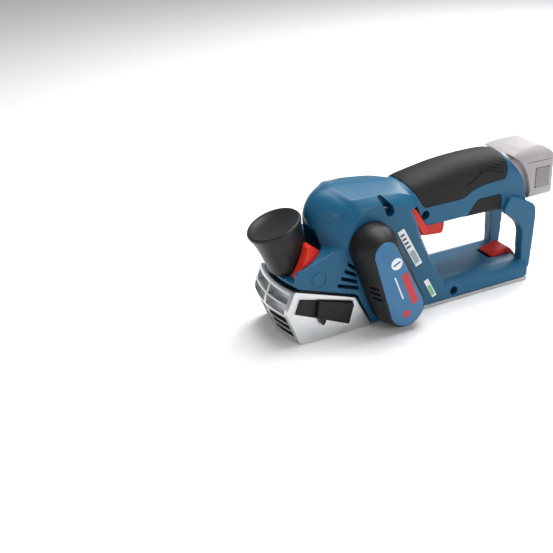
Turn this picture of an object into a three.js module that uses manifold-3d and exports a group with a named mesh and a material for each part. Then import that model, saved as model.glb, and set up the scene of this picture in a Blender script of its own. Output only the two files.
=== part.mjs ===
// A compact battery hand planer. A rotary cutter turns between a front shoe, which the depth knob
// raises, and a fixed rear sole. A belt on the left side drives the cutter from the motor above it.
//
// Millimetres. X runs rearward, Y to the tool's right, Z up from the sole. Stations along X are
// counted from the front shoe's lower front corners. The finished planer is then moved so that its
// origin is the middle of the rear sole's bottom face.

import * as THREE from "three";
import { mergeVertices } from "three/addons/utils/BufferGeometryUtils.js";
import Module from "manifold-3d";

const wasm = await Module();
wasm.setup();

// ---- driving dimensions ----

const GAP = 0.3;
const SOLE_LENGTH = 223;
const SOLE_HALF = 31;
const BLADE_WIDTH = 56;
const NOSE_BOW = 5;
const TAIL_BOW = 7;

const REAR_SOLE_FRONT = 97;
const REAR_SOLE_THICK = 3;
const ORIGIN_STATION = (REAR_SOLE_FRONT + SOLE_LENGTH) / 2;

const DRUM = { x: 84, z: 21, radius: 19.5, cut: 20.9 };
const MOTOR = { x: 64.5, z: 72.5, radius: 21.5 };
const BELT_RATIO = 2;
const MOTOR_PULLEY_RADIUS = 7;
const DRUM_PULLEY_RADIUS = MOTOR_PULLEY_RADIUS * BELT_RATIO;
const BELT_THICK = 2;

const KNOB = { x: 9.1, z: 57, tilt: THREE.MathUtils.degToRad(18.9) };
const SPINDLE_RADIUS = 4;
const DECK_RIM = 8.6;
const LEVER_REACH = 27.4;
const LEVER_FREE = { from: -120, to: 16 };

const HANDLE_HALF = 21.5;
const HANDLE_MID_Z = 88;
const GRIP_THICK = 1.6;
const SOCKET = { front: 149.7, half: 17.6, low: 70.6, high: 112.4, corner: 12 };

const PACK = { rear: 254, low: 68.6, high: 117.3, corner: 13, button: 232.4 };

const COVER_OUT = 54.2;
const TAIL_SLOT_HALF = 9.4;
const PARK_PIVOT = { x: 212, z: 11 };

// ---- materials ----

const material = (color, roughness, metalness = 0) =>
  new THREE.MeshStandardMaterial({ color, roughness, metalness });

const BLUE = material(0x2f6f96, 0.5);
const RUBBER = material(0x1f2022, 0.85);
const BLACK = material(0x26282a, 0.55);
const RED = material(0xc8322c, 0.45);
const CAST = material(0xc9cbcc, 0.45, 1);
const SOLE = material(0xaeb2b5, 0.35, 1);
const STEEL = material(0x8e9296, 0.35, 1);
const COPPER = material(0xa8643a, 0.4, 1);
const PALE = material(0xb9b7b9, 0.6);
const GREEN = material(0x2f5d43, 0.6);
const WHITE = material(0xe9ecef, 0.5);

// ---- solids ----

function toSolid(geometry) {
  const plain = geometry.clone();
  plain.deleteAttribute("normal");
  plain.deleteAttribute("uv");
  const merged = mergeVertices(plain, 1e-4);
  const mesh = new wasm.Mesh({
    numProp: 3,
    vertProperties: new Float32Array(merged.attributes.position.array),
    triVerts: new Uint32Array(merged.index.array),
  });
  return new wasm.Manifold(mesh);
}

function toGeometry(solid) {
  const mesh = solid.getMesh();
  const geometry = new THREE.BufferGeometry();
  geometry.setAttribute("position", new THREE.BufferAttribute(mesh.vertProperties, 3));
  geometry.setIndex(new THREE.BufferAttribute(mesh.triVerts, 1));
  geometry.computeVertexNormals();
  return geometry;
}

const join = (...solids) => solids.reduce((whole, next) => whole.add(next));
const cut = (solid, ...tools) => tools.reduce((left, tool) => left.subtract(tool), solid);

function box(x0, x1, y0, y1, z0, z1) {
  const geometry = new THREE.BoxGeometry(x1 - x0, y1 - y0, z1 - z0);
  geometry.translate((x0 + x1) / 2, (y0 + y1) / 2, (z0 + z1) / 2);
  return toSolid(geometry);
}

const outline = (points) => new THREE.Shape(points.map(([a, b]) => new THREE.Vector2(a, b)));

// A side outline in X and Z, given its thickness from y0 to y1.
function slab(shape, y0, y1, options = {}) {
  const settings = { depth: y1 - y0, bevelEnabled: false, curveSegments: 8, ...options };
  const geometry = new THREE.ExtrudeGeometry(shape, settings);
  geometry.rotateX(Math.PI / 2);
  geometry.translate(0, y1, 0);
  return geometry;
}

const slabSolid = (points, y0, y1) => toSolid(slab(outline(points), y0, y1));

// A plan outline in X and Y, given its height from z0 to z1.
function plate(shape, z0, z1) {
  const geometry = new THREE.ExtrudeGeometry(shape, {
    depth: z1 - z0,
    bevelEnabled: false,
    curveSegments: 8,
  });
  geometry.translate(0, 0, z0);
  return toSolid(geometry);
}

// A section in Y and Z, drawn out along X.
function beam(shape, x0, x1) {
  const geometry = new THREE.ExtrudeGeometry(shape, {
    depth: x1 - x0,
    bevelEnabled: false,
    curveSegments: 5,
  });
  geometry.rotateX(Math.PI / 2);
  geometry.rotateZ(Math.PI / 2);
  geometry.translate(x0, 0, 0);
  return toSolid(geometry);
}

function roundedSection(half, low, high, corner) {
  const shape = new THREE.Shape();
  const right = Math.PI / 2;
  shape.absarc(half - corner, low + corner, corner, -right, 0);
  shape.absarc(half - corner, high - corner, corner, 0, right);
  shape.absarc(corner - half, high - corner, corner, right, 2 * right);
  shape.absarc(corner - half, low + corner, corner, 2 * right, 3 * right);
  return shape;
}

// A turned piece on the Y axis. The profile holds [radius, y] and starts and ends on the axis.
function turned(profile, segments = 24) {
  return new THREE.LatheGeometry(profile.map(([r, y]) => new THREE.Vector2(r, y)), segments);
}

const ringProfile = (inner, outer, y0, y1) =>
  [[inner, y0], [outer, y0], [outer, y1], [inner, y1], [inner, y0]];

const rodProfile = (radius, y0, y1) => [[0, y0], [radius, y0], [radius, y1], [0, y1]];

// A rod along Y through the given station and height.
function rod(place, radius, y0, y1, segments = 24) {
  const geometry = turned(rodProfile(radius, y0, y1), segments);
  geometry.translate(place.x, 0, place.z);
  return toSolid(geometry);
}

// The same turned piece standing on the depth knob's tilted axis.
function onKnobAxis(profile, segments = 24) {
  const geometry = turned(profile, segments);
  geometry.rotateX(Math.PI / 2);
  geometry.rotateY(-KNOB.tilt);
  geometry.translate(KNOB.x, 0, KNOB.z);
  return toSolid(geometry);
}

// A closed skin through outlines of equal length, each at its own y. Outlines run anticlockwise
// as seen from the tool's left.
function loft(layers) {
  const count = layers[0].points.length;
  const position = layers.flatMap(({ y, points }) => points.flatMap(([x, z]) => [x, y, z]));
  const index = [];
  for (let layer = 0; layer < layers.length - 1; layer += 1) {
    for (let i = 0; i < count; i += 1) {
      const a = layer * count + i;
      const d = layer * count + ((i + 1) % count);
      index.push(a, a + count, d + count, a, d + count, d);
    }
  }
  const capOf = (layer) =>
    THREE.ShapeUtils.triangulateShape(
      layers[layer].points.map(([x, z]) => new THREE.Vector2(x, z)),
      [],
    );
  capOf(0).forEach(([a, b, c]) => index.push(a, b, c));
  const last = (layers.length - 1) * count;
  capOf(layers.length - 1).forEach(([a, b, c]) => index.push(last + a, last + c, last + b));
  const geometry = new THREE.BufferGeometry();
  geometry.setAttribute("position", new THREE.Float32BufferAttribute(position, 3));
  geometry.setIndex(index);
  return toSolid(geometry);
}

// A shell whose outline shrinks from the middle to the sides along a quarter ellipse.
function bulge(middle, side, half) {
  const levels = [1, 0.94, 0.82, 0.64, 0.4];
  const layer = (level) => {
    const blend = 1 - Math.sqrt(1 - level * level);
    const points = middle.map(([x, z], i) => [
      x + (side[i][0] - x) * blend,
      z + (side[i][1] - z) * blend,
    ]);
    return { y: level * half, points };
  };
  const far = levels.map(layer);
  const near = far.map(({ y, points }) => ({ y: -y, points }));
  return loft([...near, ...far.reverse()]);
}

// The outline round two circles, one about the drum's axis and one about the motor's.
function pulleyOutline(drumRadius, motorRadius, steps = 12) {
  const dx = MOTOR.x - DRUM.x;
  const dz = MOTOR.z - DRUM.z;
  const heading = Math.atan2(dz, dx);
  const swing = Math.acos((drumRadius - motorRadius) / Math.hypot(dx, dz));
  const arc = (centre, radius, from, to) =>
    Array.from({ length: steps + 1 }, (unused, i) => {
      const angle = from + ((to - from) * i) / steps;
      return [centre.x + radius * Math.cos(angle), centre.z + radius * Math.sin(angle)];
    });
  return [
    ...arc(DRUM, drumRadius, heading + swing, heading - swing + 2 * Math.PI),
    ...arc(MOTOR, motorRadius, heading - swing, heading + swing),
  ];
}

// A coil spring along Y, drawn as one closed wire.
function coil(radius, wire, y0, y1, turns) {
  class Helix extends THREE.Curve {
    getPoint(t, target = new THREE.Vector3()) {
      const angle = t * turns * 2 * Math.PI;
      return target.set(radius * Math.cos(angle), y0 + (y1 - y0) * t, radius * Math.sin(angle));
    }
  }
  const half = wire / 2;
  const section = outline([[half, 0], [0, half], [-half, 0], [0, -half]]);
  return new THREE.ExtrudeGeometry(section, { steps: turns * 8, extrudePath: new Helix() });
}

// A pan-head screw whose head faces -Y. The head's outer face is at y = 0.
function screw(headRadius, headHeight, shankRadius, length) {
  return turned(
    [[0, 0], [headRadius, 0], [headRadius, headHeight], [shankRadius, headHeight],
      [shankRadius, headHeight + length], [0, headHeight + length]],
    9,
  );
}

// ---- the object and how its pieces are placed ----

const planer = new THREE.Group();
planer.position.x = -ORIGIN_STATION;

function add(name, geometryOrSolid, look, parent = planer) {
  const isGeometry = geometryOrSolid.isBufferGeometry;
  const mesh = new THREE.Mesh(isGeometry ? geometryOrSolid : toGeometry(geometryOrSolid), look);
  mesh.name = name;
  parent.add(mesh);
  return mesh;
}

const drumAxis = new THREE.Group();
drumAxis.position.set(DRUM.x, 0, DRUM.z);
const motorAxis = new THREE.Group();
motorAxis.position.set(MOTOR.x, 0, MOTOR.z);
const knobAxis = new THREE.Group();
knobAxis.position.set(KNOB.x, 0, KNOB.z);
knobAxis.rotation.y = -KNOB.tilt;
planer.add(drumAxis, motorAxis, knobAxis);

// An outline across the tool whose front edge bows forward in the middle.
function bowed(points, half) {
  const geometry = slab(outline(points), -half, half, { steps: 10 });
  const position = geometry.attributes.position;
  for (let i = 0; i < position.count; i += 1) {
    const share = position.getY(i) / SOLE_HALF;
    const x = position.getX(i);
    const blend = THREE.MathUtils.clamp((14 - x) / 10, 0, 1);
    position.setX(i, x - NOSE_BOW * (1 - share * share) * blend);
  }
  return toSolid(geometry);
}

// Height of the front shoe's sloping top edge, and of the deck under the knob, at a station.
const shoeTop = (x) => 47.5 - 0.355 * (x + 2);
const deckTop = (x) => KNOB.z - 0.65 + (x - KNOB.x) * Math.tan(KNOB.tilt);

// ---- housing ----

function bodyShell() {
  const middle = [
    [67, 1.2], [96.5, 1.2], [96.5, 3.3], [143, 3.3], [136, 24], [125, 48], [118, 66], [122, 86],
    [112, 106], [104, 108.5], [88, 108.8], [70, 111.5], [50, 115], [36, 113.8], [26, 108],
    [21.5, 98], [22.5, 80], [29, 58], [44, 34.6], [52.5, 31.6],
  ];
  const side = [
    [67, 1.2], [96.5, 1.2], [96.5, 3.3], [140, 3.3], [132, 26], [118, 48], [109, 68], [100, 87],
    [93, 94], [84, 99], [74, 102], [64, 103], [54, 102], [48, 98], [43, 91],
    [39, 82], [37, 70], [36, 58], [44, 34.6], [52.5, 31.6],
  ];
  return bulge(middle, side, SOLE_HALF);
}

// The low front part that carries the knob. Its top is square to the knob's axis and stands a
// rim above the seat on which the knob turns.
function deck() {
  const front = 0.8;
  const back = 38;
  const points = [
    [front, shoeTop(front) + 2.6], [52.5, shoeTop(52.5) + 2.6], [66.6, 1.2], [76, 1.2], [62, 66],
    [back, deckTop(back) + DECK_RIM], [front, deckTop(front) + DECK_RIM],
  ];
  return bowed(points, SOLE_HALF);
}

function handleShell(inset) {
  const middle = [
    [118, 66], [150, 65.5], [185, 65], [215, 62], [227, 62], [225.5, 80], [221, 95], [213, 108],
    [203, 116], [190, 117.5], [165, 117.3], [145, 115.3], [125, 111.8], [106, 108.5],
    [100, 100], [105, 75],
  ];
  const side = [
    [118, 72], [150, 72], [185, 72], [213, 70], [224, 70], [222, 82], [218, 92], [211, 98],
    [203, 102], [190, 103], [165, 102], [145, 100.5], [125, 98], [112, 95],
    [104, 92], [108, 78],
  ];
  const shrink = ([x, z]) => [x, z - Math.sign(z - HANDLE_MID_Z) * inset];
  return bulge(middle.map(shrink), side.map(shrink), HANDLE_HALF - inset);
}

// Plan outline of everything that follows the rear sole: square in front, bowed at the tail.
function tailPlan(front) {
  const shape = new THREE.Shape();
  shape.moveTo(front, -SOLE_HALF);
  shape.lineTo(SOLE_LENGTH, -SOLE_HALF);
  shape.quadraticCurveTo(SOLE_LENGTH + 2 * TAIL_BOW, 0, SOLE_LENGTH, SOLE_HALF);
  shape.lineTo(front, SOLE_HALF);
  shape.closePath();
  return shape;
}

function lowerBar() {
  const bottom = REAR_SOLE_THICK + GAP;
  const section = outline([
    [-SOLE_HALF, bottom], [SOLE_HALF, bottom], [SOLE_HALF, 12.5], [29, 15.2], [20, 18],
    [-20, 18], [-29, 15.2], [-SOLE_HALF, 12.5],
  ]);
  const solid = plate(tailPlan(110), bottom, 20).intersect(beam(section, 105, 240));
  return cut(solid, box(150, 196, -18.4, 18.4, 6, 13.5));
}

function columns() {
  const points = [
    [219.5, 10], [229.2, 10], [230, 20], [232.5, 60], [231, 67], [212, 77.5], [204, 80],
    [198, 66], [203, 62.5], [219, 49],
  ];
  return join(slabSolid(points, -26, -17.5), slabSolid(points, 17.5, 26));
}

const gripRegion = (clear) => slabSolid([
  [106 - clear, 126], [106 - clear, 111], [121 - clear, 86.5 - clear], [160, 86.5 - clear],
  [167, 91.5 - clear], [178, 94.5 - clear], [200 + clear, 95.5 - clear], [203 + clear, 126],
], -40, 40);

const rearInsertRegion = (clear) => slabSolid([
  [163 - clear, 50], [163 - clear, 71], [173, 82.5 + clear],
  [197.5 + clear, 82.5 + clear], [197.5 + clear, 50],
], -40, 40);

// Everything hollow inside the two shells.
function housingHollows() {
  const socket = beam(
    roundedSection(SOCKET.half, SOCKET.low, SOCKET.high, SOCKET.corner), SOCKET.front - 3, 240);
  return [
    rod(MOTOR, 24.5, -23.7, 26.5),
    rod(DRUM, 23, -28.6, 28.6),
    box(60, REAR_SOLE_FRONT, -28.6, 28.6, -1, 20),
    slabSolid([[44, 40], [56, 35], [64, 26], [70, 42], [58, 47.6], [46, 47.6]], -20, 32),
    slabSolid([[5, 28], [5, 51.6], [33, 61.3], [38, 52], [43, 41], [47.5, 28]], -28, 28),
    box(128, 147, -11, 11, 77, 104),
    box(121.5, 154, -7.8, 7.8, 50, 78),
    socket,
  ];
}

function bearingSeats() {
  return [
    rod(MOTOR, 8.3, -30, -20),
    rod(MOTOR, 3.4, -34, 34),
    rod(MOTOR, 8.3, 20, 30.4),
    rod(DRUM, 10.8, -34.3, -20),
    rod(DRUM, 5, -40, 0),
    rod(DRUM, 10.8, 20, 34.3),
  ];
}

// The recess round the knob's foot, with a wider stretch in which the lock lever swings.
function frontOpenings() {
  const bearing = [LEVER_FREE.from, -48, LEVER_FREE.to].map(THREE.MathUtils.degToRad);
  const wedge = new THREE.ExtrudeGeometry(
    outline([[0, 0], ...bearing.map((angle) => [60 * Math.cos(angle), 60 * Math.sin(angle)])]),
    { depth: 30, bevelEnabled: false },
  );
  wedge.rotateY(-KNOB.tilt);
  wedge.translate(KNOB.x, 0, KNOB.z - 1.5);
  const leverRoom = onKnobAxis(rodProfile(LEVER_REACH + 0.6, -0.65, 21), 36);
  return [
    onKnobAxis(rodProfile(SPINDLE_RADIUS + 0.6, -20, 20)),
    onKnobAxis(rodProfile(20.2, -0.65, 21), 36),
    leverRoom.intersect(toSolid(wedge)),
    onKnobAxis(rodProfile(25.5, 20, 80), 36),
  ];
}

const SCREW_PLACES = [
  { x: 82.5, z: 95, face: -24 },
  { x: 122, z: 80, face: -15.5 },
  { x: 146, z: 9.2, face: -26 },
];

function screwHoles() {
  return SCREW_PLACES.flatMap((place) => [
    rod(place, 3.7, -40, place.face + 2.8, 16),
    rod(place, 1.9, place.face, 16, 12),
  ]);
}

const SOLE_SCREWS = [116, 192].flatMap((x) => [{ x, y: -22 }, { x, y: 22 }]);

function soleScrewSolid(place, spread) {
  const geometry = turned(
    [[0, 0.3 - spread], [3.6 + spread, 0.3 - spread], [1.6 + spread, 2.3 + spread],
      [1.6 + spread, 11 + spread], [0, 11 + spread]],
    9,
  );
  geometry.rotateX(Math.PI / 2);
  geometry.translate(place.x, place.y, 0);
  return toSolid(geometry);
}

// One vent slot's outline: the slots get shorter from the lowest row up.
const ventPoints = (row) => {
  const low = 41.9 + row * 5.6;
  const front = 34.6 + row * 3;
  const back = 54.5 - row * 1.6;
  const drop = 0.355 * (back - front);
  return [[front, low + 2.4], [front, low], [back, low - drop], [back, low + 2.4 - drop]];
};

function sideFeatures() {
  const vents = [0, 1, 2, 3].map((row) => slabSolid(ventPoints(row), -32, -28.6));
  const lockOffPocket = slabSolid(
    [[103, 91.5], [110.5, 91.5], [126.5, 64], [117, 59]], -26, -16);
  const parkSlot = box(198, 240, -TAIL_SLOT_HALF, TAIL_SLOT_HALF, 0, 30);
  const pinHole = rod(PARK_PIVOT, 1.9, -14.3, 14.3, 12);
  return [...vents, lockOffPocket, parkSlot, pinHole];
}

function housing() {
  const bosses = join(rod(DRUM, 14, -36, -28), rod(DRUM, 13.5, 28, 36));
  const coverBoss = rod({ x: 75, z: 45 }, 4, -49.5, -28, 12);
  const handle = handleShell(0);
  const skin = handleShell(-1).subtract(handleShell(GRIP_THICK + GAP));
  const softRegions = join(gripRegion(GAP), rearInsertRegion(GAP));
  return cut(
    join(bodyShell(), deck(), handle, lowerBar(), columns(), bosses, coverBoss),
    skin.intersect(softRegions),
    ...housingHollows(),
    ...bearingSeats(),
    ...frontOpenings(),
    ...screwHoles(),
    ...SOLE_SCREWS.map((place) => soleScrewSolid(place, GAP)),
    ...sideFeatures(),
    rod({ x: 75, z: 45 }, 1.7, -52, -32, 10),
  );
}

const shell = housing();
const leftSide = box(-50, 300, -80, -GAP / 2, -20, 150);
const rightSide = box(-50, 300, GAP / 2, 80, -20, 150);
add("housing_left", shell.intersect(leftSide), BLUE);
add("housing_right", shell.intersect(rightSide), BLUE);

const softSkin = handleShell(0).subtract(handleShell(GRIP_THICK));
const grip = softSkin.intersect(gripRegion(0));
add("grip_left", grip.intersect(leftSide), RUBBER);
add("grip_right", grip.intersect(rightSide), RUBBER);
const rearInsert = softSkin.intersect(rearInsertRegion(0));
add("rear_insert_left", rearInsert.intersect(leftSide), RUBBER);
add("rear_insert_right", rearInsert.intersect(rightSide), RUBBER);

// ---- front shoe ----

function noseWindows() {
  const rows = [[6.5, 11.5], [13, 18], [19.5, 25], [29.5, 35.5], [37.5, 43]];
  return rows.flatMap(([low, high]) => [
    box(-22, 4, -26.5, -1.4, low, high),
    box(-22, 4, 1.4, 26.5, low, high),
  ]);
}

function frontShoe() {
  const outer = bowed(
    [[2.5, 0], [65, 0], [51, shoeTop(51)], [-2, shoeTop(-2)], [-10, 30], [0, 2.5]], SOLE_HALF);
  const inner = bowed(
    [[4, 5], [60, 5], [47.5, 30], [47.5, 60], [1, 60], [1, 46], [-6.5, 30]], 27.5);
  const boss = onKnobAxis(rodProfile(6.2, -60, -16.5)).intersect(box(0, 60, -20, 20, 2, 60));
  const bore = onKnobAxis(rodProfile(SPINDLE_RADIUS + 0.35, -42, 10));
  const sideWindow = slabSolid([[1.4, 40.6], [-3.4, 28.6], [43.6, 7.6], [49, 26.5]], -40, -26);
  const groove = beam(outline([[-3, -0.1], [3, -0.1], [0, 2.6]]), -20, 80);
  return cut(join(outer.subtract(inner), boss), bore, sideWindow, groove, ...noseWindows());
}

// The plastic piece in the side window: a set-back floor, a block that stands out and a tab.
function shoeBlock() {
  const floor = slabSolid([[2, 39.8], [-2.2, 28.9], [43.2, 8.4], [48.2, 26.5]], -30.6, -28);
  const block = slabSolid([[17, 34.9], [14.5, 21.5], [43.2, 8.4], [48.2, 25.6]], -34, -28);
  const tab = slabSolid(
    [[17, 21], [22, 21], [22.8, 17.2], [20.6, 13.6], [18.8, 14.4], [17, 20]], -34, -31.3);
  return join(floor, block, tab);
}

// A four-sided guard that hangs from the housing into the open top of the shoe.
function shoeGuard() {
  const band = (front, back, below, above) => [
    [front, shoeTop(front) - below], [back, shoeTop(back) - below],
    [back, shoeTop(back) + above], [front, shoeTop(front) + above],
  ];
  const outer = slabSolid(band(5.3, 42, 4, 2.2), -26.8, 26.8);
  return outer.subtract(slabSolid(band(6.5, 40.4, 9, 9), -25.2, 25.2));
}

add("front_shoe", frontShoe(), CAST);
add("shoe_block", shoeBlock(), BLACK);
add("shoe_guard", shoeGuard(), BLACK);

// ---- rear sole ----

function rearSole() {
  const slot = box(198, 240, -TAIL_SLOT_HALF, TAIL_SLOT_HALF, -1, 5);
  const holes = SOLE_SCREWS.map((place) => soleScrewSolid(place, GAP));
  return cut(plate(tailPlan(REAR_SOLE_FRONT), 0, REAR_SOLE_THICK), slot, ...holes);
}

add("rear_sole", rearSole(), SOLE);
SOLE_SCREWS.forEach((place, i) => {
  add(`sole_screw_${i + 1}`, soleScrewSolid(place, 0), STEEL);
});

// ---- depth knob, spindle, spring and lock lever, all on the tilted axis ----

function depthKnob() {
  const bore = SPINDLE_RADIUS + GAP;
  const profile = [
    [0, 14.5], [bore, 14.5], [bore, 0], [16.4, 0], [17.2, 1.2], [17.8, 12], [18.6, 22],
    [20.4, 31], [22.2, 34.6], [22.5, 36.5], [22, 38], [20.4, 38.6], [14, 36.4], [7, 35.3],
    [0, 35],
  ];
  return turned(profile, 26).rotateX(Math.PI / 2);
}

function lockLever() {
  const blank = slabSolid(
    [[-8, 0], [24, 0], [23.5, 2.5], [13.8, 18.5], [10.5, 18.5]], -27, -9);
  const upright = (profile) => toSolid(turned(profile, 36).rotateX(Math.PI / 2));
  const reach = upright(rodProfile(LEVER_REACH, -1, 25));
  const knobRoom = upright([[0, -1], [18.4, -1], [19.6, 22], [0, 22]]);
  return blank.intersect(reach).subtract(knobRoom);
}

add("depth_knob", depthKnob(), BLACK, knobAxis);
const spindle = turned(rodProfile(SPINDLE_RADIUS, -36, 14.2)).rotateX(Math.PI / 2);
add("knob_spindle", spindle, STEEL, knobAxis);
add("shoe_spring", coil(5, 0.9, -15.7, -4.8, 5).rotateX(Math.PI / 2), STEEL, knobAxis);
add("lock_lever", lockLever(), RED, knobAxis);

// ---- belt drive ----

function beltCover() {
  const layer = (y, drumRadius, motorRadius) => ({ y, points: pulleyOutline(drumRadius, motorRadius) });
  const outer = loft([
    layer(-COVER_OUT, 16.3, 11.2), layer(-52, 17.6, 13), layer(-42, 20, 18), layer(-31.3, 20.5, 19),
  ]);
  const inner = loft([
    layer(-51, 15, 10.8), layer(-48, 17, 13.6), layer(-42, 17.5, 15.6), layer(-31, 18, 16.6),
  ]);
  return cut(outer.subtract(inner), rod({ x: 75, z: 45 }, 1.9, -60, -40, 12),
    rod({ x: 75, z: 45 }, 3.6, -60, -52.8, 16));
}

const coverInlay = slabSolid(pulleyOutline(15.3, 10.2), -COVER_OUT - 1, -COVER_OUT - GAP);

// The belt, standing off the pulleys' toothed rims by a given amount on its inside or outside.
const aroundPulleys = (off) =>
  pulleyOutline(DRUM_PULLEY_RADIUS + off, MOTOR_PULLEY_RADIUS + off);
const beltLoop = slabSolid(aroundPulleys(BELT_THICK), -46.5, -38)
  .subtract(slabSolid(aroundPulleys(GAP), -47, -37));

const pulley = (radius, bore) => turned(
  [[bore, -47.6], [radius + 1, -47.6], [radius + 1, -46.8], [radius, -46.8], [radius, -37.6],
    [radius + 1, -37.6], [radius + 1, -36.6], [bore, -36.6], [bore, -47.6]],
  20,
);

add("belt_cover", beltCover(), BLACK);
add("cover_inlay", coverInlay, BLUE);
add("cover_screw", screw(3.2, 1.2, 1.5, 10).translate(75, -54.3, 45), STEEL);
add("drive_belt", beltLoop, RUBBER);
add("drum_pulley", pulley(DRUM_PULLEY_RADIUS, 4.06), BLACK, drumAxis);
add("motor_pulley", pulley(MOTOR_PULLEY_RADIUS, 2.56), STEEL, motorAxis);

// ---- cutter drum ----

const BLADE_COUNT = 2;
const DRUM_HALF = BLADE_WIDTH / 2 + 0.3;
const SHAFT_RADIUS = 6;

// One pocket of the drum, cut square to a radius, holding a blade and the clamp over it.
const pocketSolid = () => box(-7, 7, -40, 40, 13, 22);
const bladeSolid = () => box(-6.7, -5.5, -BLADE_WIDTH / 2, BLADE_WIDTH / 2, 13.3, DRUM.cut - 1);

function cutterDrum() {
  const body = toSolid(turned(ringProfile(SHAFT_RADIUS + 0.06, DRUM.radius, -DRUM_HALF, DRUM_HALF), 40));
  const screwRoom = [-18, 18].map((y) => clampScrew(GAP).translate([0, y, 0]));
  const pockets = join(pocketSolid(), ...screwRoom);
  return cut(body, pockets, pockets.rotate([0, 180, 0]));
}

function bladeClamp() {
  const blank = box(-5.2, 6.7, -DRUM_HALF + 0.5, DRUM_HALF - 0.5, 13.3, 18.2);
  const holes = [-18, 18].map((y) => clampScrew(GAP).translate([0, y, 0]));
  return cut(blank, ...holes);
}

// A countersunk screw along a radius of the drum.
function clampScrew(spread) {
  const profile = [
    [0, 8.5 - spread], [1.6 + spread, 8.5 - spread], [1.6 + spread, 15], [3 + spread, 17],
    [3 + spread, 18 + (spread > 0 ? 2 : 0)], [0, 18 + (spread > 0 ? 2 : 0)],
  ];
  return toSolid(turned(profile, 9).rotateX(Math.PI / 2).translate(1, 0, 0));
}

function drumShaft() {
  const profile = [
    [0, -47.8], [4, -47.8], [4, -28.7], [SHAFT_RADIUS, -28.7], [SHAFT_RADIUS, 28.7],
    [4, 28.7], [4, 33.8], [0, 33.8],
  ];
  return turned(profile, 24);
}

const drumTurn = new THREE.Group();
drumTurn.rotation.y = THREE.MathUtils.degToRad(70);
drumAxis.add(drumTurn);
add("cutter_drum", cutterDrum(), SOLE, drumTurn);
add("drum_shaft", drumShaft(), STEEL, drumTurn);
for (let i = 0; i < BLADE_COUNT; i += 1) {
  const side = new THREE.Group();
  side.rotation.y = (2 * Math.PI * i) / BLADE_COUNT;
  drumTurn.add(side);
  add(`blade_${i + 1}`, bladeSolid(), STEEL, side);
  add(`blade_clamp_${i + 1}`, bladeClamp(), STEEL, side);
  [-18, 18].forEach((y, j) => {
    const fastener = add(`clamp_screw_${2 * i + j + 1}`, clampScrew(0), STEEL, side);
    fastener.position.y = y;
  });
}

const bearing = (bore, radius, y0, y1) => turned(ringProfile(bore, radius, y0, y1), 18);
add("drum_bearing_left", bearing(4.13, 10.5, -34, -29), STEEL, drumAxis);
add("drum_bearing_right", bearing(4.13, 10.5, 29, 34), STEEL, drumAxis);

// ---- motor ----

function motorStator() {
  const ring = toSolid(turned(ringProfile(15.8, MOTOR.radius, -15, 13), 24));
  const ribs = [0, 1, 2, 3, 4, 5].map((i) => box(12, 17, -3, 3, -13, 15)
    .rotate([90, 0, 0]).rotate([0, 60 * i, 0]));
  return join(ring, ...ribs).subtract(toSolid(turned(rodProfile(13, -30, 30), 24)));
}

function motorRotor() {
  const profile = [
    [0, -48], [2.5, -48], [2.5, -16], [12.5, -16], [12.5, 14], [2.5, 14], [2.5, 30], [0, 30],
  ];
  return turned(profile, 24);
}

function coolingFan() {
  const hub = toSolid(turned(
    [[2.56, 15.5], [23, 15.5], [23, 16.7], [6, 16.7], [6, 23.5], [2.56, 23.5], [2.56, 15.5]], 24));
  const vanes = Array.from({ length: 9 }, (unused, i) =>
    box(5.5, 22, -0.8, 0.8, -23.5, -16).rotate([90, 0, 0]).rotate([0, 40 * i, 0]));
  return join(hub, ...vanes);
}

add("motor_stator", motorStator(), COPPER, motorAxis);
add("motor_rotor", motorRotor(), STEEL, motorAxis);
add("cooling_fan", coolingFan(), BLACK, motorAxis);
add("motor_bearing_left", bearing(2.56, 8, -29.7, -24), STEEL, motorAxis);
add("motor_bearing_right", bearing(2.56, 8, 25, 30), STEEL, motorAxis);

// ---- switch, trigger and lock-off ----

function triggerSolid() {
  const shape = [
    [123, 64.5], [125, 55.5], [132, 54], [150, 52.3], [151.8, 61.5], [148.6, 67.2], [128, 70.5],
    [124, 69.5],
  ];
  return slabSolid(shape, -7.3, 7.3);
}

function lockOffSolid() {
  return slabSolid([[105.8, 88.4], [110.6, 88], [123.6, 67], [119.6, 63], [106, 86]], -23.4, -17);
}

add("trigger", triggerSolid(), RED);
add("lock_off_lever", lockOffSolid(), RED);
add("trigger_spring", coil(2.4, 0.7, 71, 76.5, 4).rotateX(Math.PI / 2).translate(142, 0, 0), STEEL);
add("switch_module", join(box(128.6, 145.8, -9, 9, 80, 100), box(138, 141, -3, 3, 77, 81)), BLACK);
add("terminal_block", box(147, 149.2, -12, 12, 78, 104), BLACK);
add("electronics_board", join(box(152, 194, -17, 17, 7, 9), box(156, 190, -14, 14, 8.5, 12.6)), GREEN);

// ---- battery pack ----

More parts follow.
